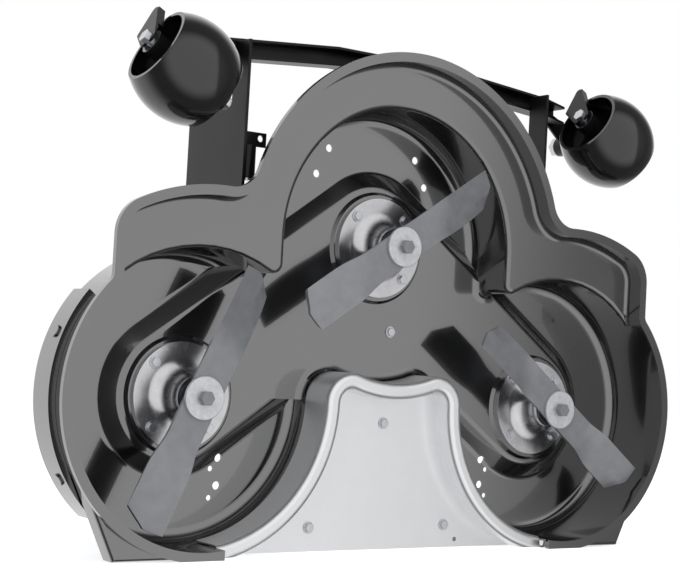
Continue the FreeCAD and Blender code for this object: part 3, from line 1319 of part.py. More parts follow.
def gauge_wheels():
    """Both barrel wheels, each on a bolt in a one-armed yoke that swivels in the beam."""
    along_axle = FreeCAD.Rotation(Vector(0, 0, 1), -90)
    to_axle = FreeCAD.Rotation(Vector(0, 0, 1), Vector(1, 0, 0))
    half, rim = cell("wheel_half_width"), cell("wheel_end_radius")
    sag = cell("wheel_radius") - rim
    crown = (half * half + sag * sag) / (sag * 2)
    wall, web = cell("wheel_wall"), cell("wheel_web") * 0.5
    hub, reach = cell("wheel_hub_radius"), HUB_HALF
    bore = cell("axle_radius") + cell("running_gap")
    deep = cell("wheel_radius") - wall - 0.6
    arm_near = reach + cell("keeper_gap")
    arm_far = arm_near + cell("yoke_gauge")
    width = cell("yoke_width") * 0.5
    plate_low, plate_high = YOKE_TOP, YOKE_TOP + cell("yoke_gauge")
    axle_y = WHEEL_Y
    stem_top = plate_high + cell("socket_gap") + cell("socket_height")
    for name, side in SIDES:
        turn = FreeCAD.Rotation(UP, 180 + mm("wheel_turn"))
        x, z = WHEEL_X * side, WHEEL_Z
        turned("wheel_" + name, (
            (bore, -reach), (hub, -reach), (hub, -web), (deep, -web, crown - wall, -1), (rim - wall, -half),
            (rim, -half, crown, 1), (rim, half), (rim - wall, half, crown - wall, -1), (deep, web),
            (hub, web), (hub, reach), (bore, reach),
        ), x, axle_y, z, turn.multiply(along_axle))
        top = plate("yoke_top_" + name, "XZ_Plane", (
            (-arm_far, -width), (as_size(0.0), -width, width, 1), (as_size(0.0), width), (-arm_far, width),
        ), cell("yoke_gauge"), (), True, 0.0, plate_low)
        arm = plate("yoke_arm_" + name, "YZ_Plane", (
            (plate_high, -width), (plate_high, width), (axle_y, width, width, 1), (axle_y, -width),
        ), cell("yoke_gauge"), ((axle_y, 0.0, cell("axle_radius") + 0.3),), False, -arm_far)
        tall = stem_top + 6.0 - plate_low
        stem = rod("yoke_stem_" + name, cell("stem_radius"), tall, 0.0, plate_low, 0.0)
        yoke = joined("wheel_yoke_" + name, [top, arm, stem])
        place(yoke, x, 0.0, z, turn)
        nut("stem_nut_" + name, cell("stem_radius"), x, stem_top + 0.3, z)
        ear_face = arm_near + cell("keeper_gauge")
        across, thick = cell("axle_across"), cell("axle_head")
        nut_face = -arm_far - thick
        long = ear_face - nut_face + 2.0
        label = "wheel_bolt_%s_" % name
        bolt = joined("wheel_bolt_" + name, [
            rod(label + "shank", cell("axle_radius"), long, nut_face - 2.0, axle_y, 0.0, to_axle),
            hexagon(label + "head", across, thick, ear_face, axle_y, 0.0, to_axle),
            hexagon(label + "nut", across, thick, nut_face, axle_y, 0.0, to_axle),
        ])
        place(bolt, x, 0.0, z, turn)
        place(finished("wheel_keeper_" + name, wheel_ear()), x, axle_y, z, turn)


for name, x, z, turn in SPINDLES:
    spindle(name, x, z, turn)
housing_holes()
finished("deck_shell", deck_shell())
finished("rear_baffle", rear_baffle())
finished("drive_belt", drive_belt())
baffle_fasteners()
side_cover()
idler()
front_beam()
hangers()
gauge_wheels()
doc.recompute()

NAMES = ["deck_shell", "rear_baffle", "baffle_bolts", "baffle_pins", "side_cover", "side_cover_bolts"]
NAMES += ["drive_belt", "idler_arm", "idler_pivot", "idler_pulley", "idler_bolt", "idler_spring"]
NAMES += ["front_beam", "hanger_pins"]
for stem in ("spindle_housing", "housing_bolts", "lower_bearing", "upper_bearing", "spindle_shaft",
             "dust_cap", "pulley", "pulley_nut", "blade", "blade_washer", "blade_bolt"):
    NAMES += ["%s_%s" % (stem, name) for name, _, _, _ in SPINDLES]
for stem in ("hanger", "wheel_yoke", "wheel", "wheel_bolt", "wheel_keeper", "stem_nut"):
    NAMES += ["%s_%s" % (stem, name) for name, _ in SIDES]

for item in doc.Objects:
    if "Invalid" in item.State or "Error" in item.State:
        raise RuntimeError("%s did not build: %s" % (item.Label, item.State))
for name in NAMES:
    shape = doc.getObject(name).Shape
    if shape.isNull() or not shape.isValid() or not shape.Solids:
        raise RuntimeError("%s has no sound solid" % name)
os.makedirs("parts", exist_ok=True)
for name in NAMES:
    doc.getObject(name).Shape.exportStep("parts/%s.step" % name)
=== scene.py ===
# %% [markdown]
# # A three-spindle mower deck, dressed in Blender
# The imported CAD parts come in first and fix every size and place. Blender then gives each part the
# surface that the real one has: gloss black paint on pressed steel, a bright zinc-plated baffle,
# polished alloy housings and blue-grey blades. Where the CAD mesh is too coarse for a glossy finish,
# the piece is modelled again here to the same sizes and takes the CAD part's place.

# %% Load the frame
import json
import math

import bmesh
import bpy
from mathutils import Matrix, Vector

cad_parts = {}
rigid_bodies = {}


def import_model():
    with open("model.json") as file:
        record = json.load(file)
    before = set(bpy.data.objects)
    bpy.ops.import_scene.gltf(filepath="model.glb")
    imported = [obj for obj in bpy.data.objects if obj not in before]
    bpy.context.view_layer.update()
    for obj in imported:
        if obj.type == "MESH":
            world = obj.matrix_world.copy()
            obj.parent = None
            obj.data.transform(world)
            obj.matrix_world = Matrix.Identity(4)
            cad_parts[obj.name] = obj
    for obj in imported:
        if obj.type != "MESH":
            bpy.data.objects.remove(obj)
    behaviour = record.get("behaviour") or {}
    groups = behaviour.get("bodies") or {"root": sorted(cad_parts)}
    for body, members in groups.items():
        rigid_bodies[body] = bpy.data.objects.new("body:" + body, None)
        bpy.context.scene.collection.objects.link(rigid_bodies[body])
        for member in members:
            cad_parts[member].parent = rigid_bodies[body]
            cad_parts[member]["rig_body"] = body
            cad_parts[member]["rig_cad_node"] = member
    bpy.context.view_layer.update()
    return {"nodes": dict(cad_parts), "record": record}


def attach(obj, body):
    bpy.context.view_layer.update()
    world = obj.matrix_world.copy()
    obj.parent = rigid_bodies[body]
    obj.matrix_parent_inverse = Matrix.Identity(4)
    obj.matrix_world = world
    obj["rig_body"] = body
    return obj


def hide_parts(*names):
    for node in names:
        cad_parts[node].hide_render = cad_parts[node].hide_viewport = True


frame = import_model()
NODES = frame["nodes"]
BODY_OF = {node: body for body, nodes in frame["record"]["behaviour"]["bodies"].items() for node in nodes}
SLOT_OF = {entry["node"]: entry["material_slot"] for entry in frame["record"]["subparts"]}
MM = 0.001
print("CAD nodes:", len(NODES))

# %% [markdown]
# ## Camera
# The photograph was matched to the three round flanges, so the camera's place and turn are known in
# the part's own frame. The lens is given in millimetres for a sensor 36 mm wide. The camera's matrix
# has three columns: right, up, and the opposite of the view direction.

# %% Camera
camera_data = bpy.data.cameras.new("camera")
camera_data.sensor_width = 36.0
camera_data.lens = 80.82
camera_data.clip_end = 50.0
camera = bpy.data.objects.new("camera", camera_data)
bpy.context.scene.collection.objects.link(camera)
right = Vector((0.82201653, -0.56686065, 0.05438596))
up = Vector((-0.06974122, -0.00542584, 0.99755036))
forward = Vector((0.56517695, 0.82379583, 0.04399369))
turn = Matrix((right, up, -forward)).transposed().to_4x4()
camera.matrix_world = Matrix.Translation((-1.4633, -2.0240, 0.3082)) @ turn
bpy.context.scene.camera = camera
print("camera stands at:", [round(value, 3) for value in camera.matrix_world.translation])

# %% [markdown]
# ## What the paint mirrors
# Gloss black paint is seen by what it mirrors, so the surroundings matter more than the lamps. The
# camera sees a plain white world. A mirrored ray sees one whose strength follows its direction: a
# bright wall ahead of the open underside with a grey stretch at its right, a dark belt round the
# sides, and a bright wall behind. Smooth steps make each change soft, as a studio's large panels do.
# Matt surfaces are lit by a much dimmer world. If Cycles sampled the world as a lamp, it would use
# that dim strength for mirrored light too, so this sampling is off.

# %% Helpers for the world's nodes
scene = bpy.context.scene
scene.view_settings.view_transform = "Standard"
world = bpy.data.worlds.new("studio")
scene.world = world
world.use_nodes = True
world.cycles.sampling_method = "NONE"
sky = world.node_tree
sky.nodes.clear()


def sky_node(kind, inputs, **settings):
    """A node of the world's tree: each input is another node's output or a plain value."""
    item = sky.nodes.new(kind)
    for key, value in settings.items():
        setattr(item, key, value)
    for key, value in inputs.items():
        if isinstance(value, bpy.types.NodeSocket):
            sky.links.new(value, item.inputs[key])
        else:
            item.inputs[key].default_value = value
    return item


def smooth_step(value, low, high, start, end):
    """A strength that goes smoothly from start to end while the value goes from low to high."""
    inputs = {"Value": value, "From Min": low, "From Max": high, "To Min": start, "To Max": end}
    return sky_node("ShaderNodeMapRange", inputs, interpolation_type="SMOOTHSTEP").outputs[0]


print("view transform:", scene.view_settings.view_transform)

# %% World
light_path = sky_node("ShaderNodeLightPath", {}).outputs
direction = sky_node("ShaderNodeTexCoord", {}).outputs["Generated"]
along = sky_node("ShaderNodeSeparateXYZ", {0: direction}).outputs
front_wall = smooth_step(along["X"], 0.60, 0.70, 1.0, 0.3)
back_wall = smooth_step(along["Y"], 0.05, 0.6, 0.14, 1.0)
past_front = smooth_step(along["Y"], -0.72, -0.3, 0.0, 1.0)
walls = sky_node("ShaderNodeMix", {0: past_front, 2: front_wall, 3: back_wall}).outputs[0]
strength = sky_node("ShaderNodeMix", {0: light_path["Is Camera Ray"], 2: walls, 3: 1.0}).outputs[0]
white = sky_node("ShaderNodeBackground", {"Color": (1.0, 1.0, 1.0, 1.0), "Strength": strength})
dim = sky_node("ShaderNodeBackground", {"Color": (0.9, 0.95, 1.0, 1.0), "Strength": 0.45})
seen = sky_node(
    "ShaderNodeMath", {0: light_path["Is Camera Ray"], 1: light_path["Is Glossy Ray"]}, operation="MAXIMUM")
clear = sky_node(
    "ShaderNodeMath", {0: seen.outputs[0], 1: light_path["Is Transmission Ray"]}, operation="MAXIMUM")
blend = sky_node("ShaderNodeMixShader", {0: clear.outputs[0], 1: dim.outputs[0], 2: white.outputs[0]})
sky_node("ShaderNodeOutputWorld", {0: blend.outputs[0]})
print("world nodes:", len(sky.nodes))

# %% [markdown]
# ## Lamps
# Two upright soft boxes and one overhead panel light the matt and satin surfaces and cast the soft
# shadow. They are hidden from mirrored rays, because small bright boxes would show in the gloss paint
# as hard white patches.

# %% Lamps
AIM_POINT = (0.0, 0.0, 0.4)


def soft_box(name, place, size, power):
    """A rectangular area lamp that looks at the deck's middle."""
    data = bpy.data.lights.new(name, "AREA")
    data.shape = "RECTANGLE"
    data.size, data.size_y = size
    data.energy = power
    lamp = bpy.data.objects.new(name, data)
    lamp.location = place
    lamp.visible_glossy = False
    lamp.rotation_euler = (Vector(AIM_POINT) - Vector(place)).to_track_quat("-Z", "Y").to_euler()
    scene.collection.objects.link(lamp)


soft_box("left_strip", (-2.4, -1.6, 1.5), (0.5, 2.2), 30)
soft_box("right_strip", (2.2, -2.0, 1.0), (0.5, 2.0), 16)
soft_box("overhead", (0.0, -1.0, 2.6), (2.4, 1.2), 32)

# %% [markdown]
# ## Shader maths
# Node trees are easier to read as formulas. A Strand wraps one output socket and turns a sum or a
# product into a Math node. A Finish owns one material and adds every other node from its type, its
# settings and its inputs.

# %% Strands and finishes
OBJECT_COORDINATES = 3


class Strand:
    """One output socket of a material's tree."""

    def __init__(self, finish, socket):
        self.finish = finish
        self.socket = socket

    def math(self, operation, other):
        return self.finish.node("ShaderNodeMath", {"operation": operation}, self, other)

    def __radd__(self, other):
        return self.math("ADD", other)

    def __mul__(self, other):
        return self.math("MULTIPLY", other)


class Finish:
    """One material, with a Principled shader whose sockets are set by name."""

    def __init__(self, name, **sockets):
        self.material = bpy.data.materials.new(name)
        self.material.use_nodes = True
        self.tree = self.material.node_tree
        self.tree.nodes.clear()
        self.shader = self.tree.nodes.new("ShaderNodeBsdfPrincipled")
        output = self.tree.nodes.new("ShaderNodeOutputMaterial")
        self.tree.links.new(self.shader.outputs[0], output.inputs[0])
        for key, value in sockets.items():
            self.set(key.replace("_", " "), value)

    def feed(self, socket, value):
        """Link a strand to a socket, or set the socket to a plain value."""
        if isinstance(value, Strand):
            self.tree.links.new(value.socket, socket)
        else:
            socket.default_value = value

    def set(self, name, value):
        self.feed(self.shader.inputs[name], value)

    def node(self, kind, settings, *inputs, output=0, **named):
        """A node with its settings and inputs: the strand is one of its outputs."""
        item = self.tree.nodes.new(kind)
        for key, value in settings.items():
            setattr(item, key, value)
        for index, value in enumerate(inputs):
            self.feed(item.inputs[index], value)
        for key, value in named.items():
            self.feed(item.inputs[key], value)
        return Strand(self, item.outputs[output])

    def noise(self, scale, detail=4.0, stretch=None):
        """Noise in object coordinates, which can be squeezed along the axes."""
        where = self.node("ShaderNodeTexCoord", {}, output=OBJECT_COORDINATES)
        if stretch:
            where = self.node("ShaderNodeMapping", {}, where, Scale=stretch)
        return self.node("ShaderNodeTexNoise", {}, Vector=where, Scale=scale, Detail=detail)

    def mix(self, factor, first, second):
        """A colour between two colours. A Mix node keeps its colour inputs at 6 and 7."""
        item = self.tree.nodes.new("ShaderNodeMix")
        item.data_type = "RGBA"
        self.feed(item.inputs[0], factor)
        self.feed(item.inputs[6], first)
        self.feed(item.inputs[7], second)
        return Strand(self, item.outputs[2])

    def bump(self, height, strength, distance):
        normal = self.node("ShaderNodeBump", {}, Height=height, Strength=strength, Distance=distance)
        self.set("Normal", normal)


print("shader helpers ready")

# %% [markdown]
# ## Enamel and plate
# Gloss enamel on pressed steel is nearly black, mirror smooth and faintly uneven, like orange peel. A
# second layer over a black base gives it two reflections, a sharp one and a softer one, and a high
# index of refraction makes both strong enough to draw the deck's form. Zinc plate is bright with a
# cloudy bloom, and zinc fasteners are finely speckled.

# %% Gloss enamel
enamel = Finish("gloss_enamel", Base_Color=(0.004, 0.004, 0.0045, 1), IOR=2.0, Coat_Weight=1.0)
enamel.set("Coat IOR", 2.0)
enamel.set("Coat Roughness", 0.04)
peel = enamel.noise(160.0, 2.0)
cloud = enamel.noise(9.0, 3.0)
enamel.set("Roughness", 0.12 + cloud * 0.10)
enamel.bump(peel, 0.04, 0.0004)
print("enamel nodes:", len(enamel.tree.nodes))

# %% Bright zinc plate and zinc fasteners
plate_finish = Finish("bright_plate", Metallic=0.9)
bloom = plate_finish.noise(22.0, 5.0)
plate_finish.set("Base Color", plate_finish.mix(bloom, (0.78, 0.785, 0.80, 1), (0.90, 0.905, 0.915, 1)))
plate_finish.set("Roughness", 0.24 + bloom * 0.16)
plate_finish.bump(plate_finish.noise(300.0, 2.0), 0.04, 0.0003)
zinc = Finish("zinc", Metallic=1.0)
speckle = zinc.noise(420.0, 3.0)
zinc.set("Base Color", zinc.mix(speckle, (0.50, 0.51, 0.54, 1), (0.74, 0.75, 0.78, 1)))
zinc.set("Roughness", 0.2 + speckle * 0.2)
print("plate and zinc nodes:", len(plate_finish.tree.nodes), len(zinc.tree.nodes))

# %% [markdown]
# ## Alloy, blades and washers
# A cast housing is satin with swirls from polishing, made of noise that is squeezed along one axis.
# The blades carry a thin blue-grey coat with soft clouds, half metal and half paint. Their washers are
# satin and mottled.

# %% Cast alloy, blade paint and satin washers
alloy = Finish("cast_alloy", Metallic=1.0)
swirl = alloy.noise(34.0, 6.0, (1.0, 3.0, 1.0))
alloy.set("Base Color", alloy.mix(swirl, (0.42, 0.42, 0.44, 1), (0.80, 0.80, 0.82, 1)))
alloy.set("Roughness", 0.14 + swirl * 0.22)
alloy.bump(alloy.noise(240.0, 3.0), 0.08, 0.0004)
blade_paint = Finish("blade_paint", Metallic=0.55)
streak = blade_paint.noise(60.0, 4.0)
blade_paint.set("Base Color", blade_paint.mix(streak, (0.20, 0.204, 0.215, 1), (0.29, 0.294, 0.306, 1)))
blade_paint.set("Roughness", 0.32 + streak * 0.14)
washer_finish = Finish("satin_washer", Metallic=0.7, Roughness=0.42)
mottle = washer_finish.noise(150.0, 6.0)
washer_finish.set("Base Color", washer_finish.mix(mottle, (0.45, 0.46, 0.48, 1), (0.80, 0.81, 0.83, 1)))
for finish in (alloy, blade_paint, washer_finish):
    print(finish.material.name, "nodes:", len(finish.tree.nodes))

# %% [markdown]
# ## Rubber, plastic and bracket paint
# The belt is matt rubber, the seals are satin plastic and the wheels are moulded in gloss plastic. The
# brackets round the wheels are painted too, but they look darker than the deck, so their paint mirrors
# less.

# %% Belt, seals, wheels and brackets
belt_rubber = Finish("belt_rubber", Base_Color=(0.012, 0.012, 0.013, 1))
weave = belt_rubber.noise(900.0, 2.0)
belt_rubber.set("Roughness", 0.65 + weave * 0.2)
belt_rubber.bump(weave, 0.2, 0.0003)
seal = Finish("seal_plastic", Base_Color=(0.012, 0.012, 0.013, 1))
seal.set("Roughness", 0.34 + seal.noise(120.0) * 0.16)
moulded = Finish("moulded_gloss", Base_Color=(0.006, 0.006, 0.0065, 1), Coat_Weight=0.7)
sheen = moulded.noise(45.0, 3.0)
moulded.set("Roughness", 0.10 + sheen * 0.12)
moulded.bump(moulded.noise(500.0, 2.0), 0.03, 0.0002)
bracket_paint = Finish("bracket_paint", Base_Color=(0.003, 0.003, 0.003, 1))
bracket_paint.set("Specular IOR Level", 0.3)
bracket_paint.set("Roughness", 0.26 + bracket_paint.noise(14.0, 3.0) * 0.14)
print("materials so far:", len(bpy.data.materials))

# %% [markdown]
# ## Who wears what
# Each CAD node names the slot of its material, and most slots stand for one finish. Washers share
# their slot with the baffle and brackets share theirs with the deck, so these two are told apart by
# the node's name.

# %% Finishes on the CAD nodes
FINISH_OF_SLOT = {
    "gloss_black": enamel, "bright_plate": plate_finish, "zinc": zinc, "black_bolts": enamel,
    "cast_alloy": alloy, "blade_steel": blade_paint, "belt": belt_rubber, "black_plastic": seal,
    "gloss_plastic": moulded,
}
BRACKETS = ("hanger_left", "hanger_right", "front_beam", "wheel_yoke", "wheel_keeper")


def finish_for(node):
    """The finish of one CAD node."""
    if node.startswith("blade_washer"):
        return washer_finish
    if node.startswith(BRACKETS):
        return bracket_paint
    return FINISH_OF_SLOT[SLOT_OF[node]]


for node, item in NODES.items():
    item.data.materials.clear()
    item.data.materials.append(finish_for(node).material)
print("finishes in use:", len({finish_for(node).material.name for node in NODES}))

# %% [markdown]
# ## Smoothed CAD parts
# Many CAD solids already have the right shape. A copy of each is merged, its edges get a small bevel
# that catches the light, and its normals are weighted by face area, so flat faces stay flat.

# %% A helper that refines a CAD node
MERGE, FLAT, EDGE = 1e-6, math.radians(0.3), math.radians(32.0)


def refined(node, bevel):
    """Replace a CAD node with a merged, bevelled and smoothly shaded copy of itself."""
    piece = NODES[node].copy()
    piece.data = NODES[node].data.copy()
    piece.name = "dressed_" + node
    piece.parent = None
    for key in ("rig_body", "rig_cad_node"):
        if key in piece:
            del piece[key]
    scene.collection.objects.link(piece)
    piece.matrix_world = Matrix.Identity(4)
    mesh = bmesh.new()
    mesh.from_mesh(piece.data)
    bmesh.ops.remove_doubles(mesh, verts=mesh.verts, dist=MERGE)
    bmesh.ops.dissolve_limit(mesh, angle_limit=FLAT, verts=mesh.verts, edges=mesh.edges)
    mesh.to_mesh(piece.data)
    mesh.free()
    bpy.ops.object.select_all(action="DESELECT")
    piece.select_set(True)
    bpy.context.view_layer.objects.active = piece
    if bevel > 0:
        soften = piece.modifiers.new("soften", "BEVEL")
        soften.width = bevel * MM
        soften.segments = 2
        soften.limit_method = "ANGLE"
        soften.angle_limit = EDGE
        bpy.ops.object.modifier_apply(modifier="soften")
    bpy.ops.object.shade_smooth_by_angle(angle=EDGE)
    level = piece.modifiers.new("level", "WEIGHTED_NORMAL")
    level.keep_sharp = True
    bpy.ops.object.modifier_apply(modifier="level")
    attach(piece, BODY_OF[node])
    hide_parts(node)


print("edges sharper than this are bevelled, in degrees:", round(math.degrees(EDGE)))

# %% [markdown]
# ## How round each edge is
# Pressed and cast parts have softer edges than cut ones. The table gives each bevel in millimetres by
# the start of the node's name, and the longest start that fits a node is the one that counts.

# %% Refined parts
BEVELS = {
    "rear_baffle": 0.0, "front_beam": 0.8, "hanger": 0.6, "wheel_yoke": 0.8, "wheel_keeper": 0.8,
    "wheel_left": 0.5, "wheel_right": 0.5, "wheel_bolt": 0.5, "stem_nut": 0.6, "spindle_housing": 0.4,
    "housing_bolts": 0.5, "baffle_bolts": 0.5, "baffle_pins": 1.0, "side_cover": 0.6,
    "blade_left": 0.3, "blade_centre": 0.3, "blade_right": 0.3, "blade_bolt": 0.8,
    "blade_washer": 0.3, "dust_cap": 0.3, "spindle_shaft": 0.5, "pulley": 0.5, "idler": 0.5,
}
for node in sorted(NODES):
    matches = [key for key in BEVELS if node.startswith(key)]
    if matches:
        refined(node, BEVELS[max(matches, key=len)])

# %% [markdown]
# ## Drawing outlines
# A pressed deck is drawn in plan as arcs that run smoothly into each other. One vertex is spun about
# each arc's centre in turn and leaves its line behind, and the closed line is filled with a face. A
# curve object would do too, but a spun vertex gives the same count of corners to outlines that are
# bridged later. Plan sizes are in millimetres, X to the right and Z to the front.

# %% Selection and plan geometry
def clear_selection():
    """Leave edit mode and select nothing."""
    if bpy.context.mode != "OBJECT":
        bpy.ops.object.mode_set(mode="OBJECT")
    bpy.ops.object.select_all(action="DESELECT")


def activate(item):
    """Select one object alone and make it active."""
    clear_selection()
    item.select_set(True)
    bpy.context.view_layer.objects.active = item


def aim(middle, point):
    """Direction in plan from one point to another, in degrees from +X towards +Z."""
    return math.degrees(math.atan2(point[1] - middle[1], point[0] - middle[0]))


def meeting(first, first_radius, second, second_radius, side):
    """One of the two points where two circles meet."""
    dx, dz = second[0] - first[0], second[1] - first[1]
    gap = math.hypot(dx, dz)
    along = (gap * gap + first_radius ** 2 - second_radius ** 2) / (2 * gap)
    across = side * math.sqrt(first_radius ** 2 - along ** 2)
    return first[0] + (along * dx - across * dz) / gap, first[1] + (along * dz + across * dx) / gap


print("from +X towards +Z, in degrees:", aim((0, 0), (0, 1)))

# %% A pen that draws arcs and lines
STEP, SMALL_STEP, STEP_GROWTH = 5.0, 1.5, 0.04


def draw(name, x, z, height, strokes, count=None):
    """A flat face at a height: strokes are ("arc", centre, sweep in degrees) or ("line", x, z).

    Arcs get steps of up to 5 mm, and smaller ones on small radii, or a fixed count of steps.
    """
    clear_selection()
    bpy.ops.mesh.primitive_plane_add(size=0.01)
    item = bpy.context.active_object
    item.name = name
    bpy.ops.object.mode_set(mode="EDIT")
    bpy.ops.mesh.select_all(action="SELECT")
    bpy.ops.mesh.merge(type="CENTER")
    bpy.ops.transform.translate(value=(x * MM, height * MM, z * MM))
    for stroke in strokes:
        if stroke[0] == "line":
            shift = ((stroke[1] - x) * MM, 0, (stroke[2] - z) * MM)
            bpy.ops.mesh.extrude_vertices_move(TRANSFORM_OT_translate={"value": shift})
            x, z = stroke[1], stroke[2]
            continue
        middle, sweep = stroke[1], stroke[2]
        radius = math.hypot(x - middle[0], z - middle[1])
        length = abs(math.radians(sweep)) * radius
        steps = count or max(3, round(length / min(STEP, SMALL_STEP + radius * STEP_GROWTH)))
        centre = (middle[0] * MM, height * MM, middle[1] * MM)
        bpy.ops.mesh.spin(steps=steps, angle=math.radians(sweep), center=centre, axis=(0, 1, 0))
        turn = math.radians(aim(middle, (x, z)) + sweep)
        x, z = middle[0] + radius * math.cos(turn), middle[1] + radius * math.sin(turn)
    bpy.ops.mesh.select_all(action="SELECT")
    bpy.ops.mesh.remove_doubles(threshold=1e-5)
    bpy.ops.mesh.edge_face_add()
    return item


print("longest step on an arc, in millimetres:", STEP)

# %% [markdown]
# ## From faces to solids
# Three ways turn outlines into solids here. A face is extruded and the far edge is rounded, which
# suits a pressed roof. Several outlines are bridged, which suits a sloped side with rounded ends. Boxes
# and cones are enough for what is only cut away. Solids are then joined or cut by exact booleans.

# %% Solids from outlines
def closed(item):
    """Turn all faces outwards and leave edit mode."""
    bpy.ops.mesh.select_all(action="SELECT")
    bpy.ops.mesh.normals_make_consistent(inside=False)
    bpy.ops.object.mode_set(mode="OBJECT")
    return item


def raise_face(item, height, rounding=0.0, segments=8):
    """Extrude the drawn face along Y and round its far edge."""
    bpy.ops.mesh.select_all(action="SELECT")
    bpy.ops.mesh.extrude_region_move(TRANSFORM_OT_translate={"value": (0, height * MM, 0)})
    if rounding:
        bpy.ops.mesh.bevel(offset=rounding * MM, segments=segments, affect="EDGES", clamp_overlap=False)
    return closed(item)


def lofted(rings):
    """A solid through several outlines that have the same number of corners."""
    activate(rings[0])
    for ring in rings:
        ring.select_set(True)
    bpy.ops.object.join()
    bpy.ops.object.mode_set(mode="EDIT")
    bpy.ops.mesh.select_all(action="SELECT")
    bpy.ops.mesh.delete(type="ONLY_FACE")
    bpy.ops.mesh.select_all(action="SELECT")
    bpy.ops.mesh.bridge_edge_loops()
    bpy.ops.mesh.select_all(action="SELECT")
    bpy.ops.mesh.fill_holes(sides=0)
    return closed(rings[0])


def combine(item, tool, operation):
    """Join, cut or intersect one solid with another, which is used up."""
    activate(item)
    step = item.modifiers.new("combine", "BOOLEAN")
    step.operation = operation
    step.solver = "EXACT"
    step.object = tool
    bpy.ops.object.modifier_apply(modifier="combine")
    bpy.data.objects.remove(tool)
    return item


print("solid helpers ready")

# %% Boxes and cones
def block(name, x, y, z):
    """A box between pairs of X, Y and Z values."""
    clear_selection()
    middle = [(low + high) / 2 * MM for low, high in (x, y, z)]
    size = [(high - low) * MM for low, high in (x, y, z)]
    bpy.ops.mesh.primitive_cube_add(size=1, location=middle, scale=size)
    bpy.context.active_object.name = name
    return bpy.context.active_object


def drum(name, x, z, low, high, radius, top, vertices):
    """A cylinder or cone along Y between two heights."""
    clear_selection()
    bpy.ops.mesh.primitive_cone_add(
        vertices=vertices, radius1=radius * MM, radius2=top * MM, depth=(high - low) * MM,
        location=(x * MM, (low + high) / 2 * MM, z * MM), rotation=(-math.pi / 2, 0, 0))
    bpy.context.active_object.name = name
    return bpy.context.active_object


# %% [markdown]
# ## The deck in plan
# The real deck is one pressed sheet: three round chambers in one pan, a wider brim round the front
# and both shoulders, and a pocket between the chambers at the rear. Its outline needs few numbers,
# because every corner is an arc that touches its neighbours. The middle of such an arc is found with
# two circles, as with a pair of compasses. Heights run along Y, from the rim up to the roof.

# %% Sizes of the deck, in millimetres
CENTRE, SIDE = (0.0, 486.1), (351.3, 234.0)
SPINDLES = (CENTRE, SIDE, (-SIDE[0], SIDE[1]))
CHAMBER, BRIM_FRONT, BRIM_SIDE, HALF = 222.0, 293.0, 297.0, 506.0
NOSE_BEND, ISLAND_BEND, NECK_BEND, SHOULDER_BEND, HIP_BEND = 15.0, 45.0, 62.0, 42.0, 30.0
ROOF, PLATEAU, SEAT, BRIM, RIM, SHEET = 33.0, 11.0, 6.0, -62.0, -95.0, 3.0
LAND, REACH, POCKET = -32.5, 317.0, 334.8


def above_side(x, radius):
    """The point at an X that lies in front of the side chamber's middle, a radius away from it."""
    return x, SIDE[1] + math.sqrt(radius ** 2 - (x - SIDE[0]) ** 2)


NOSE = above_side(CHAMBER + NOSE_BEND, CHAMBER + NOSE_BEND)
SHOULDER = above_side(HALF - SHOULDER_BEND, BRIM_SIDE - SHOULDER_BEND)
HIP = above_side(HALF + HIP_BEND, CHAMBER + HIP_BEND)
ISLAND = meeting(CENTRE, CHAMBER + ISLAND_BEND, SIDE, CHAMBER + ISLAND_BEND, -1)
NECK = meeting(CENTRE, BRIM_FRONT + NECK_BEND, SIDE, BRIM_SIDE + NECK_BEND, 1)
for name, point in (("nose", NOSE), ("shoulder", SHOULDER), ("hip", HIP), ("island", ISLAND), ("neck", NECK)):
    print(name, [round(value, 2) for value in point])

# %% [markdown]
# ## Chambers and brim
# Each outline is written for the right half only and mirrored for the left. A growth of 0 gives the
# air inside the deck and a growth of one sheet's thickness gives its outside, from the same strokes.

# %% The chambers' outline
def mirrored(strokes):
    """The strokes of the left half, which run back from the rear to the front."""
    return [("arc", (-middle[0], middle[1]), sweep) for kind, middle, sweep in reversed(strokes)]


def rear_strokes(start):
    """Round the side chamber from a direction, past the rear cusp and on to the middle."""
    return [
        ("arc", SIDE, -((start - aim(SIDE, ISLAND)) % 360)),
        ("arc", ISLAND, (aim(ISLAND, CENTRE) - aim(ISLAND, SIDE)) % 360),
        ("arc", CENTRE, -((aim(CENTRE, ISLAND) + 90) % 360)),
    ]


def chamber_outline(name, grow, height, count=None):
    """The outline of the three joined chambers, filled, at a height."""
    front = [("arc", CENTRE, -90.0)]
    nose = [("arc", NOSE, (aim(NOSE, SIDE) - 180) % 360)]
    rear = rear_strokes(aim(SIDE, NOSE))
    radius = CHAMBER + grow
    strokes = front + [("line", radius, NOSE[1])] + nose + rear
    strokes += mirrored(rear) + mirrored(nose) + [("line", -radius, CENTRE[1])] + mirrored(front)
    return draw(name, 0.0, CENTRE[1] + radius, height, strokes, count)


def chamber(name, grow, low, high, rounding=0.0):
    """The three joined chambers as a solid with a rounded roof edge."""
    return raise_face(chamber_outline(name, grow, low), high - low, rounding)


print("width over the chambers:", 2 * (SIDE[0] + CHAMBER), "mm")

# %% The brim
BRIM_OVERLAP = 30.0


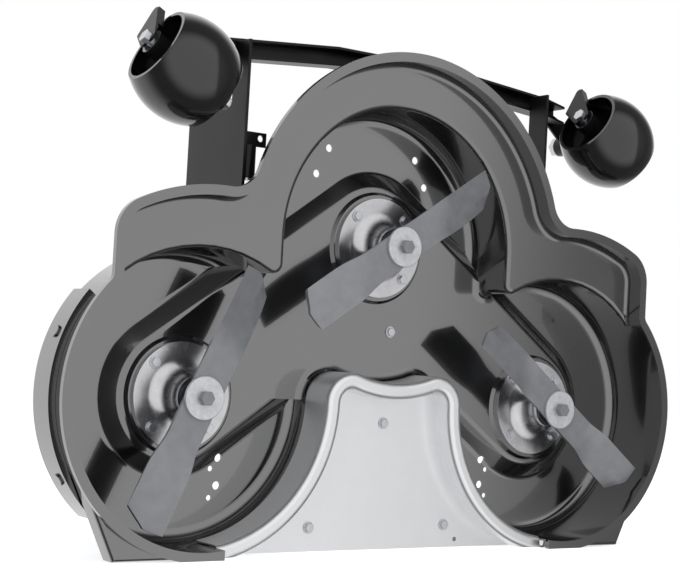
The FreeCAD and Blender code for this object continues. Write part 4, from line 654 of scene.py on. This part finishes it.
def brim(name, grow, low, high, rounding=0.0):
    """The brim with both shoulders, down to where its sides run into the chambers.

    There the outline turns inwards, so that the brim overlaps the chambers' solid.
    """
    front = [
        ("arc", CENTRE, aim(CENTRE, NECK) - 90),
        ("arc", NECK, (aim(NECK, SIDE) - aim(NECK, CENTRE)) % 360),
        ("arc", SIDE, -((aim(SIDE, NECK) - aim(SIDE, SHOULDER)) % 360)),
        ("arc", SHOULDER, -(aim(SIDE, SHOULDER) % 360)),
    ]
    hip = [("arc", HIP, (aim(HIP, SIDE) - 180) % 360)]
    turn = math.radians(aim(SIDE, HIP))
    half, end = HALF + grow, CHAMBER + grow
    inner = end - BRIM_OVERLAP
    x, z = SIDE[0] + inner * math.cos(turn), SIDE[1] + inner * math.sin(turn)
    strokes = front + [("line", half, HIP[1])] + hip + [("line", x, z), ("line", -x, z)]
    strokes += [("line", -SIDE[0] - end * math.cos(turn), SIDE[1] + end * math.sin(turn))]
    strokes += mirrored(hip) + [("line", -half, SHOULDER[1])] + mirrored(front)
    item = draw(name, 0.0, CENTRE[1] + BRIM_FRONT + grow, low, strokes)
    return raise_face(item, high - low, rounding, 6)


print("deck's width over the brim:", 2 * (HALF + SHEET), "mm")

# %% [markdown]
# ## The belt plateau and the flared corners
# On the real deck a belt runs on a plateau that is pressed down from the roof round all three
# spindles. Its side is a slope that bends at the foot and at the top, which a stack of bridged
# outlines gives and a plain extrusion doesn't. The corner between chamber wall and brim flares out in
# the same way, and its outlines follow a quarter circle.

# %% The plateau
PLATEAU_FOOT, PLATEAU_TOP, PLATEAU_BEND, PLATEAU_EDGE = 99.0, 127.0, 14.0, 18.0
SLOPE_SHARE = 0.4
HAIR = 0.02
BEND_STEPS = 4


def plateau_ring(radius, height):
    """The belt plateau's outline: round the three spindles, with straight runs between them."""
    along = Vector((SIDE[0] - CENTRE[0], SIDE[1] - CENTRE[1])).normalized()
    tilt = 90 + math.degrees(math.atan2(along[1], along[0]))
    out = (radius * math.cos(math.radians(tilt)), radius * math.sin(math.radians(tilt)))
    inner = (SIDE[0] - out[0], SIDE[1] - out[1])
    crossing = inner[0] - along[0] * (SIDE[1] - inner[1]) / -along[1]
    strokes = [
        ("line", crossing, SIDE[1]), ("line", *inner), ("arc", SIDE, 180.0),
        ("line", out[0], CENTRE[1] + out[1]), ("arc", CENTRE, 180.0 - 2 * tilt),
        ("line", -SIDE[0] - out[0], SIDE[1] + out[1]), ("arc", (-SIDE[0], SIDE[1]), 180.0),
        ("line", -crossing, SIDE[1]),
    ]
    return draw("plateau", 0.0, SIDE[1], height, strokes, 56)


def recess(grow):
    """What the belt plateau takes from the chambers, rounded where it meets their walls."""
    foot_y, top_y = PLATEAU + grow, ROOF + grow
    foot_radius, top_radius = PLATEAU_FOOT - SLOPE_SHARE * grow, PLATEAU_TOP - SLOPE_SHARE * grow
    slope = math.atan2(top_y - foot_y, top_radius - foot_radius)
    reach = PLATEAU_BEND * math.tan(slope / 2)
    turns = [slope * index / BEND_STEPS for index in range(BEND_STEPS + 1)]
    steps = [(foot_radius - reach, foot_y - PLATEAU_EDGE)]
    for turn in turns:
        out, up = PLATEAU_BEND * math.sin(turn), PLATEAU_BEND * (1 - math.cos(turn))
        steps.append((foot_radius - reach + out, foot_y - HAIR + up))
    for turn in reversed(turns):
        out, up = PLATEAU_BEND * math.sin(turn), PLATEAU_BEND * (1 - math.cos(turn))
        steps.append((top_radius + reach - out, top_y + HAIR - up))
    steps.append((top_radius + reach, top_y + 5.0))
    item = lofted([plateau_ring(radius, height) for radius, height in steps])
    under = chamber("under", 0.0, RIM - 15.0, foot_y, PLATEAU_EDGE + grow)
    return combine(item, under, "DIFFERENCE")


print("plateau's depth below the roof:", ROOF - PLATEAU, "mm")

# %% The flare
QUARTER_STEPS = 5


def flare(grow, height, rounding):
    """The rounded corner where the chamber walls meet the brim's flat face.

    The first and the last outline run on into the chambers and the brim, so that the solids overlap.
    """
    steps = [(rounding, -4.0)]
    for index in range(QUARTER_STEPS + 1):
        turn = math.radians(90 / QUARTER_STEPS * index)
        steps.append((rounding * (1 - math.sin(turn)), rounding * (1 - math.cos(turn))))
    steps.append((-2.0, rounding + 2.0))
    item = lofted([chamber_outline("flare", grow + out, height + up, 44) for out, up in steps])
    clip = brim("clip", grow - 0.2, height - 3.0, height + 3 * rounding)
    return combine(item, clip, "INTERSECT")


print("outlines in a flare:", QUARTER_STEPS + 3)

# %% [markdown]
# ## The pressed form
# Chambers, brim and flare are joined, and the plateau and three round seats are cut away. The order
# matters: the booleans need a closed solid at every step. A seat has another count of sides than the
# plateau and rises a little above it, because walls that coincide confuse an exact boolean.

# %% The pressed form
ROOF_BEND, BRIM_BEND, FLARE_BEND = 20.0, 9.0, 8.0
SEAT_RADIUS, SEAT_SLOPE, SEAT_RISE, SEAT_SIDES = 87.0, 6.3, 1.3, 101


def pressed(name, grow, low):
    """The pressed form: chambers and brim, less the belt plateau and the three seats."""
    item = chamber(name, grow, low, ROOF + grow, ROOF_BEND + grow)
    combine(item, brim("brim", grow, low, BRIM + grow, BRIM_BEND + grow), "UNION")
    combine(item, flare(grow, BRIM + grow, FLARE_BEND - grow), "UNION")
    combine(item, recess(grow), "DIFFERENCE")
    radius = SEAT_RADIUS - SLOPE_SHARE * grow
    for x, z in SPINDLES:
        high = PLATEAU + grow + SEAT_RISE
        seat = drum("seat", x, z, SEAT + grow, high, radius, radius + SEAT_SLOPE, SEAT_SIDES)
        combine(item, seat, "DIFFERENCE")
    return item


print("seats:", len(SPINDLES))

# %% [markdown]
# ## Rear pocket, feet and rolled lip
# Between the chambers the deck is open at the rear, where the bright baffle closes it. A foot stands
# at each rear corner, a small panel with a turned-up flange. The rim ends in a rolled lip, which is
# what is left of a wider rim after the inside is cut out, with its edges bevelled round.

# %% Pocket and feet
FOOT_OUT, FOOT_LOW, FOOT_HEIGHT, FOOT_BEND = 138.7, -83.0, 33.0, 8.0


def rear_region(name, grow, low, high):
    """The space between the chambers at the rear."""
    item = block(name, (-REACH, REACH), (low, high), (0.0, POCKET))
    return combine(item, chamber("chambers", grow, low - 1, high + 1), "DIFFERENCE")


def foot_solid(side, grow):
    """A corner panel that leaves the side chamber along a tangent and ends at the rear edge."""
    corner = (SIDE[0] + FOOT_OUT, 0.0)
    radius = CHAMBER + SHEET
    gap = math.hypot(corner[0] - SIDE[0], corner[1] - SIDE[1])
    turn = math.radians(aim(SIDE, corner)) + math.acos(radius / gap)
    across = (math.cos(turn), math.sin(turn))
    touch = (SIDE[0] + (radius + grow) * across[0], SIDE[1] + (radius + grow) * across[1])
    far = touch[0] - (-grow - touch[1]) / across[0] * across[1]
    lines = [(touch[0], touch[1]), (far, -grow), (REACH, -grow)]
    strokes = [("line", side * x, z) for x, z in lines]
    panel = draw("foot", side * SIDE[0], SIDE[1], FOOT_LOW - grow + FOOT_HEIGHT, strokes)
    return raise_face(panel, -FOOT_HEIGHT, FOOT_BEND + grow, 5)


def foot(side):
    """A rear corner panel with its turned-up flange."""
    return combine(foot_solid(side, 0.0), foot_solid(side, -SHEET), "DIFFERENCE")


print("pocket, in millimetres:", 2 * REACH, "wide and", POCKET, "deep")

# %% Lip
LIP_OUT, LIP_HEIGHT, LIP_BEND = 12.0, 9.0, 2.4
BELOW, BESIDE = (RIM - 5.0, RIM + 15.0), 700


def rim_ring(name, grow, low, high):
    """The whole rim in plan, as a solid."""
    return combine(chamber(name, grow, low, high), brim("front", grow, low, high), "UNION")


def lip():
    """The rolled lip round the rim, which stops at the rear edge and at the baffle."""
    item = rim_ring("lip", SHEET + LIP_OUT, RIM, RIM + LIP_HEIGHT)
    combine(item, rim_ring("inside", 0.2, RIM - 1, RIM + LIP_HEIGHT + 1), "DIFFERENCE")
    combine(item, block("behind", (-BESIDE, BESIDE), BELOW, (-100, 0)), "DIFFERENCE")
    combine(item, block("between", (-REACH, REACH), BELOW, (-50, POCKET)), "DIFFERENCE")
    step = item.modifiers.new("roll", "BEVEL")
    step.width = LIP_BEND * MM
    step.segments = 3
    step.limit_method = "ANGLE"
    step.angle_limit = math.radians(60)
    activate(item)
    bpy.ops.object.modifier_apply(modifier="roll")
    return item


print("lip's reach past the wall:", LIP_OUT, "mm")

# %% [markdown]
# ## Holes
# Every hole goes straight through the sheet: one large and four small ones at each spindle, four
# beside each side chamber, two on each side of the front chamber, and a few for bolts. All of them are
# drums that are joined into one object, so that a single boolean cuts them.

# %% Holes
BOLT_HOLE, SLOT_HOLE, PIN_HOLE, SHAFT_HOLE, BOLT_CIRCLE = 5.3, 6.3, 4.2, 34.3, 68.4
DRILL_FROM, DRILL_TO, DRILL_SIDES = -50.0, 45.0, 48
BOLT_PLACES = [(37.7, 350.3), (0.0, 202.0), (134.0, 37.0), (-134.0, 37.0)]
BESIDE_CHAMBER = [
    (-87, -95, SLOT_HOLE), (-75, -112, PIN_HOLE), (-87, -138, SLOT_HOLE), (-75, -157, PIN_HOLE)]
FRONT_PAIR = [(88, 157), (110, 113)]


def holes():
    """Every hole that goes straight through the sheet, as one tool."""
    places = [(x, z, BOLT_HOLE) for x, z in BOLT_PLACES]
    for x, z in SPINDLES:
        places.append((x, z, SHAFT_HOLE))
        for quarter in (45, 135, 225, 315):
            turn = math.radians(quarter)
            places.append((x + BOLT_CIRCLE * math.cos(turn), z + BOLT_CIRCLE * math.sin(turn), BOLT_HOLE))
    for side in (-1, 1):
        for dx, dz, radius in BESIDE_CHAMBER:
            places.append((side * (SIDE[0] + dx), SIDE[1] + dz, radius))
        places += [(side * dx, CENTRE[1] + dz, SLOT_HOLE) for dx, dz in FRONT_PAIR]
    drums = [
        drum("hole", x, z, DRILL_FROM, DRILL_TO, radius, radius, DRILL_SIDES) for x, z, radius in places]
    clear_selection()
    for item in drums:
        item.select_set(True)
    bpy.context.view_layer.objects.active = drums[0]
    bpy.ops.object.join()
    return drums[0]


print("holes beside the chambers:", 2 * (len(BESIDE_CHAMBER) + len(FRONT_PAIR)))

# %% [markdown]
# ## The deck takes its place
# The outer form gets its feet, then the air inside and the holes are cut from it. The lip, the land
# behind the baffle and the rear apron only touch the shell, so they are joined without a boolean. The
# finished mesh replaces the CAD deck.

# %% The whole deck
SMOOTH_BELOW = math.radians(26)


def deck():
    """The pressed shell with its lip, its land and its rear apron, as one object."""
    item = pressed("deck", SHEET, RIM + SHEET)
    for side in (1, -1):
        combine(item, foot(side), "UNION")
    combine(item, rear_region("opening", -0.3, RIM - 6.0, LAND), "DIFFERENCE")
    combine(item, pressed("air", 0.0, RIM - 7.0), "DIFFERENCE")
    combine(item, holes(), "DIFFERENCE")
    apron = block("apron", (-REACH, REACH), (LAND, 20.0), (0.0, SHEET))
    pieces = [lip(), rear_region("land", 1.0, LAND, LAND + SHEET), apron]
    activate(item)
    for piece in pieces:
        piece.select_set(True)
    bpy.ops.object.join()
    return item


shell = deck()
shell.name = "pressed_deck"
activate(shell)
bpy.ops.object.shade_smooth_by_angle(angle=SMOOTH_BELOW)
level = shell.modifiers.new("level", "WEIGHTED_NORMAL")
level.keep_sharp = True
bpy.ops.object.modifier_apply(modifier="level")
shell.data.materials.clear()
shell.data.materials.append(enamel.material)
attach(shell, BODY_OF["deck_shell"])
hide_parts("deck_shell")
print("deck faces:", len(shell.data.polygons))

# %% [markdown]
# ## Floor
# The deck stands on a white sheet of paper. For the camera alone the paper also glows a little, so
# that it runs into the white background and keeps the deck's soft shadow. The glow doesn't light the
# deck, and the paper is hidden from mirrored rays, as the lamps are.

# %% Floor
bpy.ops.object.select_all(action="DESELECT")
bpy.ops.mesh.primitive_plane_add(size=12.0, location=(0, 0, -0.5 * MM))
floor = bpy.context.active_object
floor.name = "floor"
paper = Finish("paper", Base_Color=(0.9, 0.9, 0.9, 1), Roughness=0.9, Emission_Strength=0.62)
seen_directly = paper.node("ShaderNodeLightPath", {})
paper.set("Emission Color", paper.mix(seen_directly, (0, 0, 0, 1), (1, 1, 1, 1)))
floor.data.materials.append(paper.material)
floor.visible_glossy = False
print("floor's width:", floor.dimensions.x, "m")
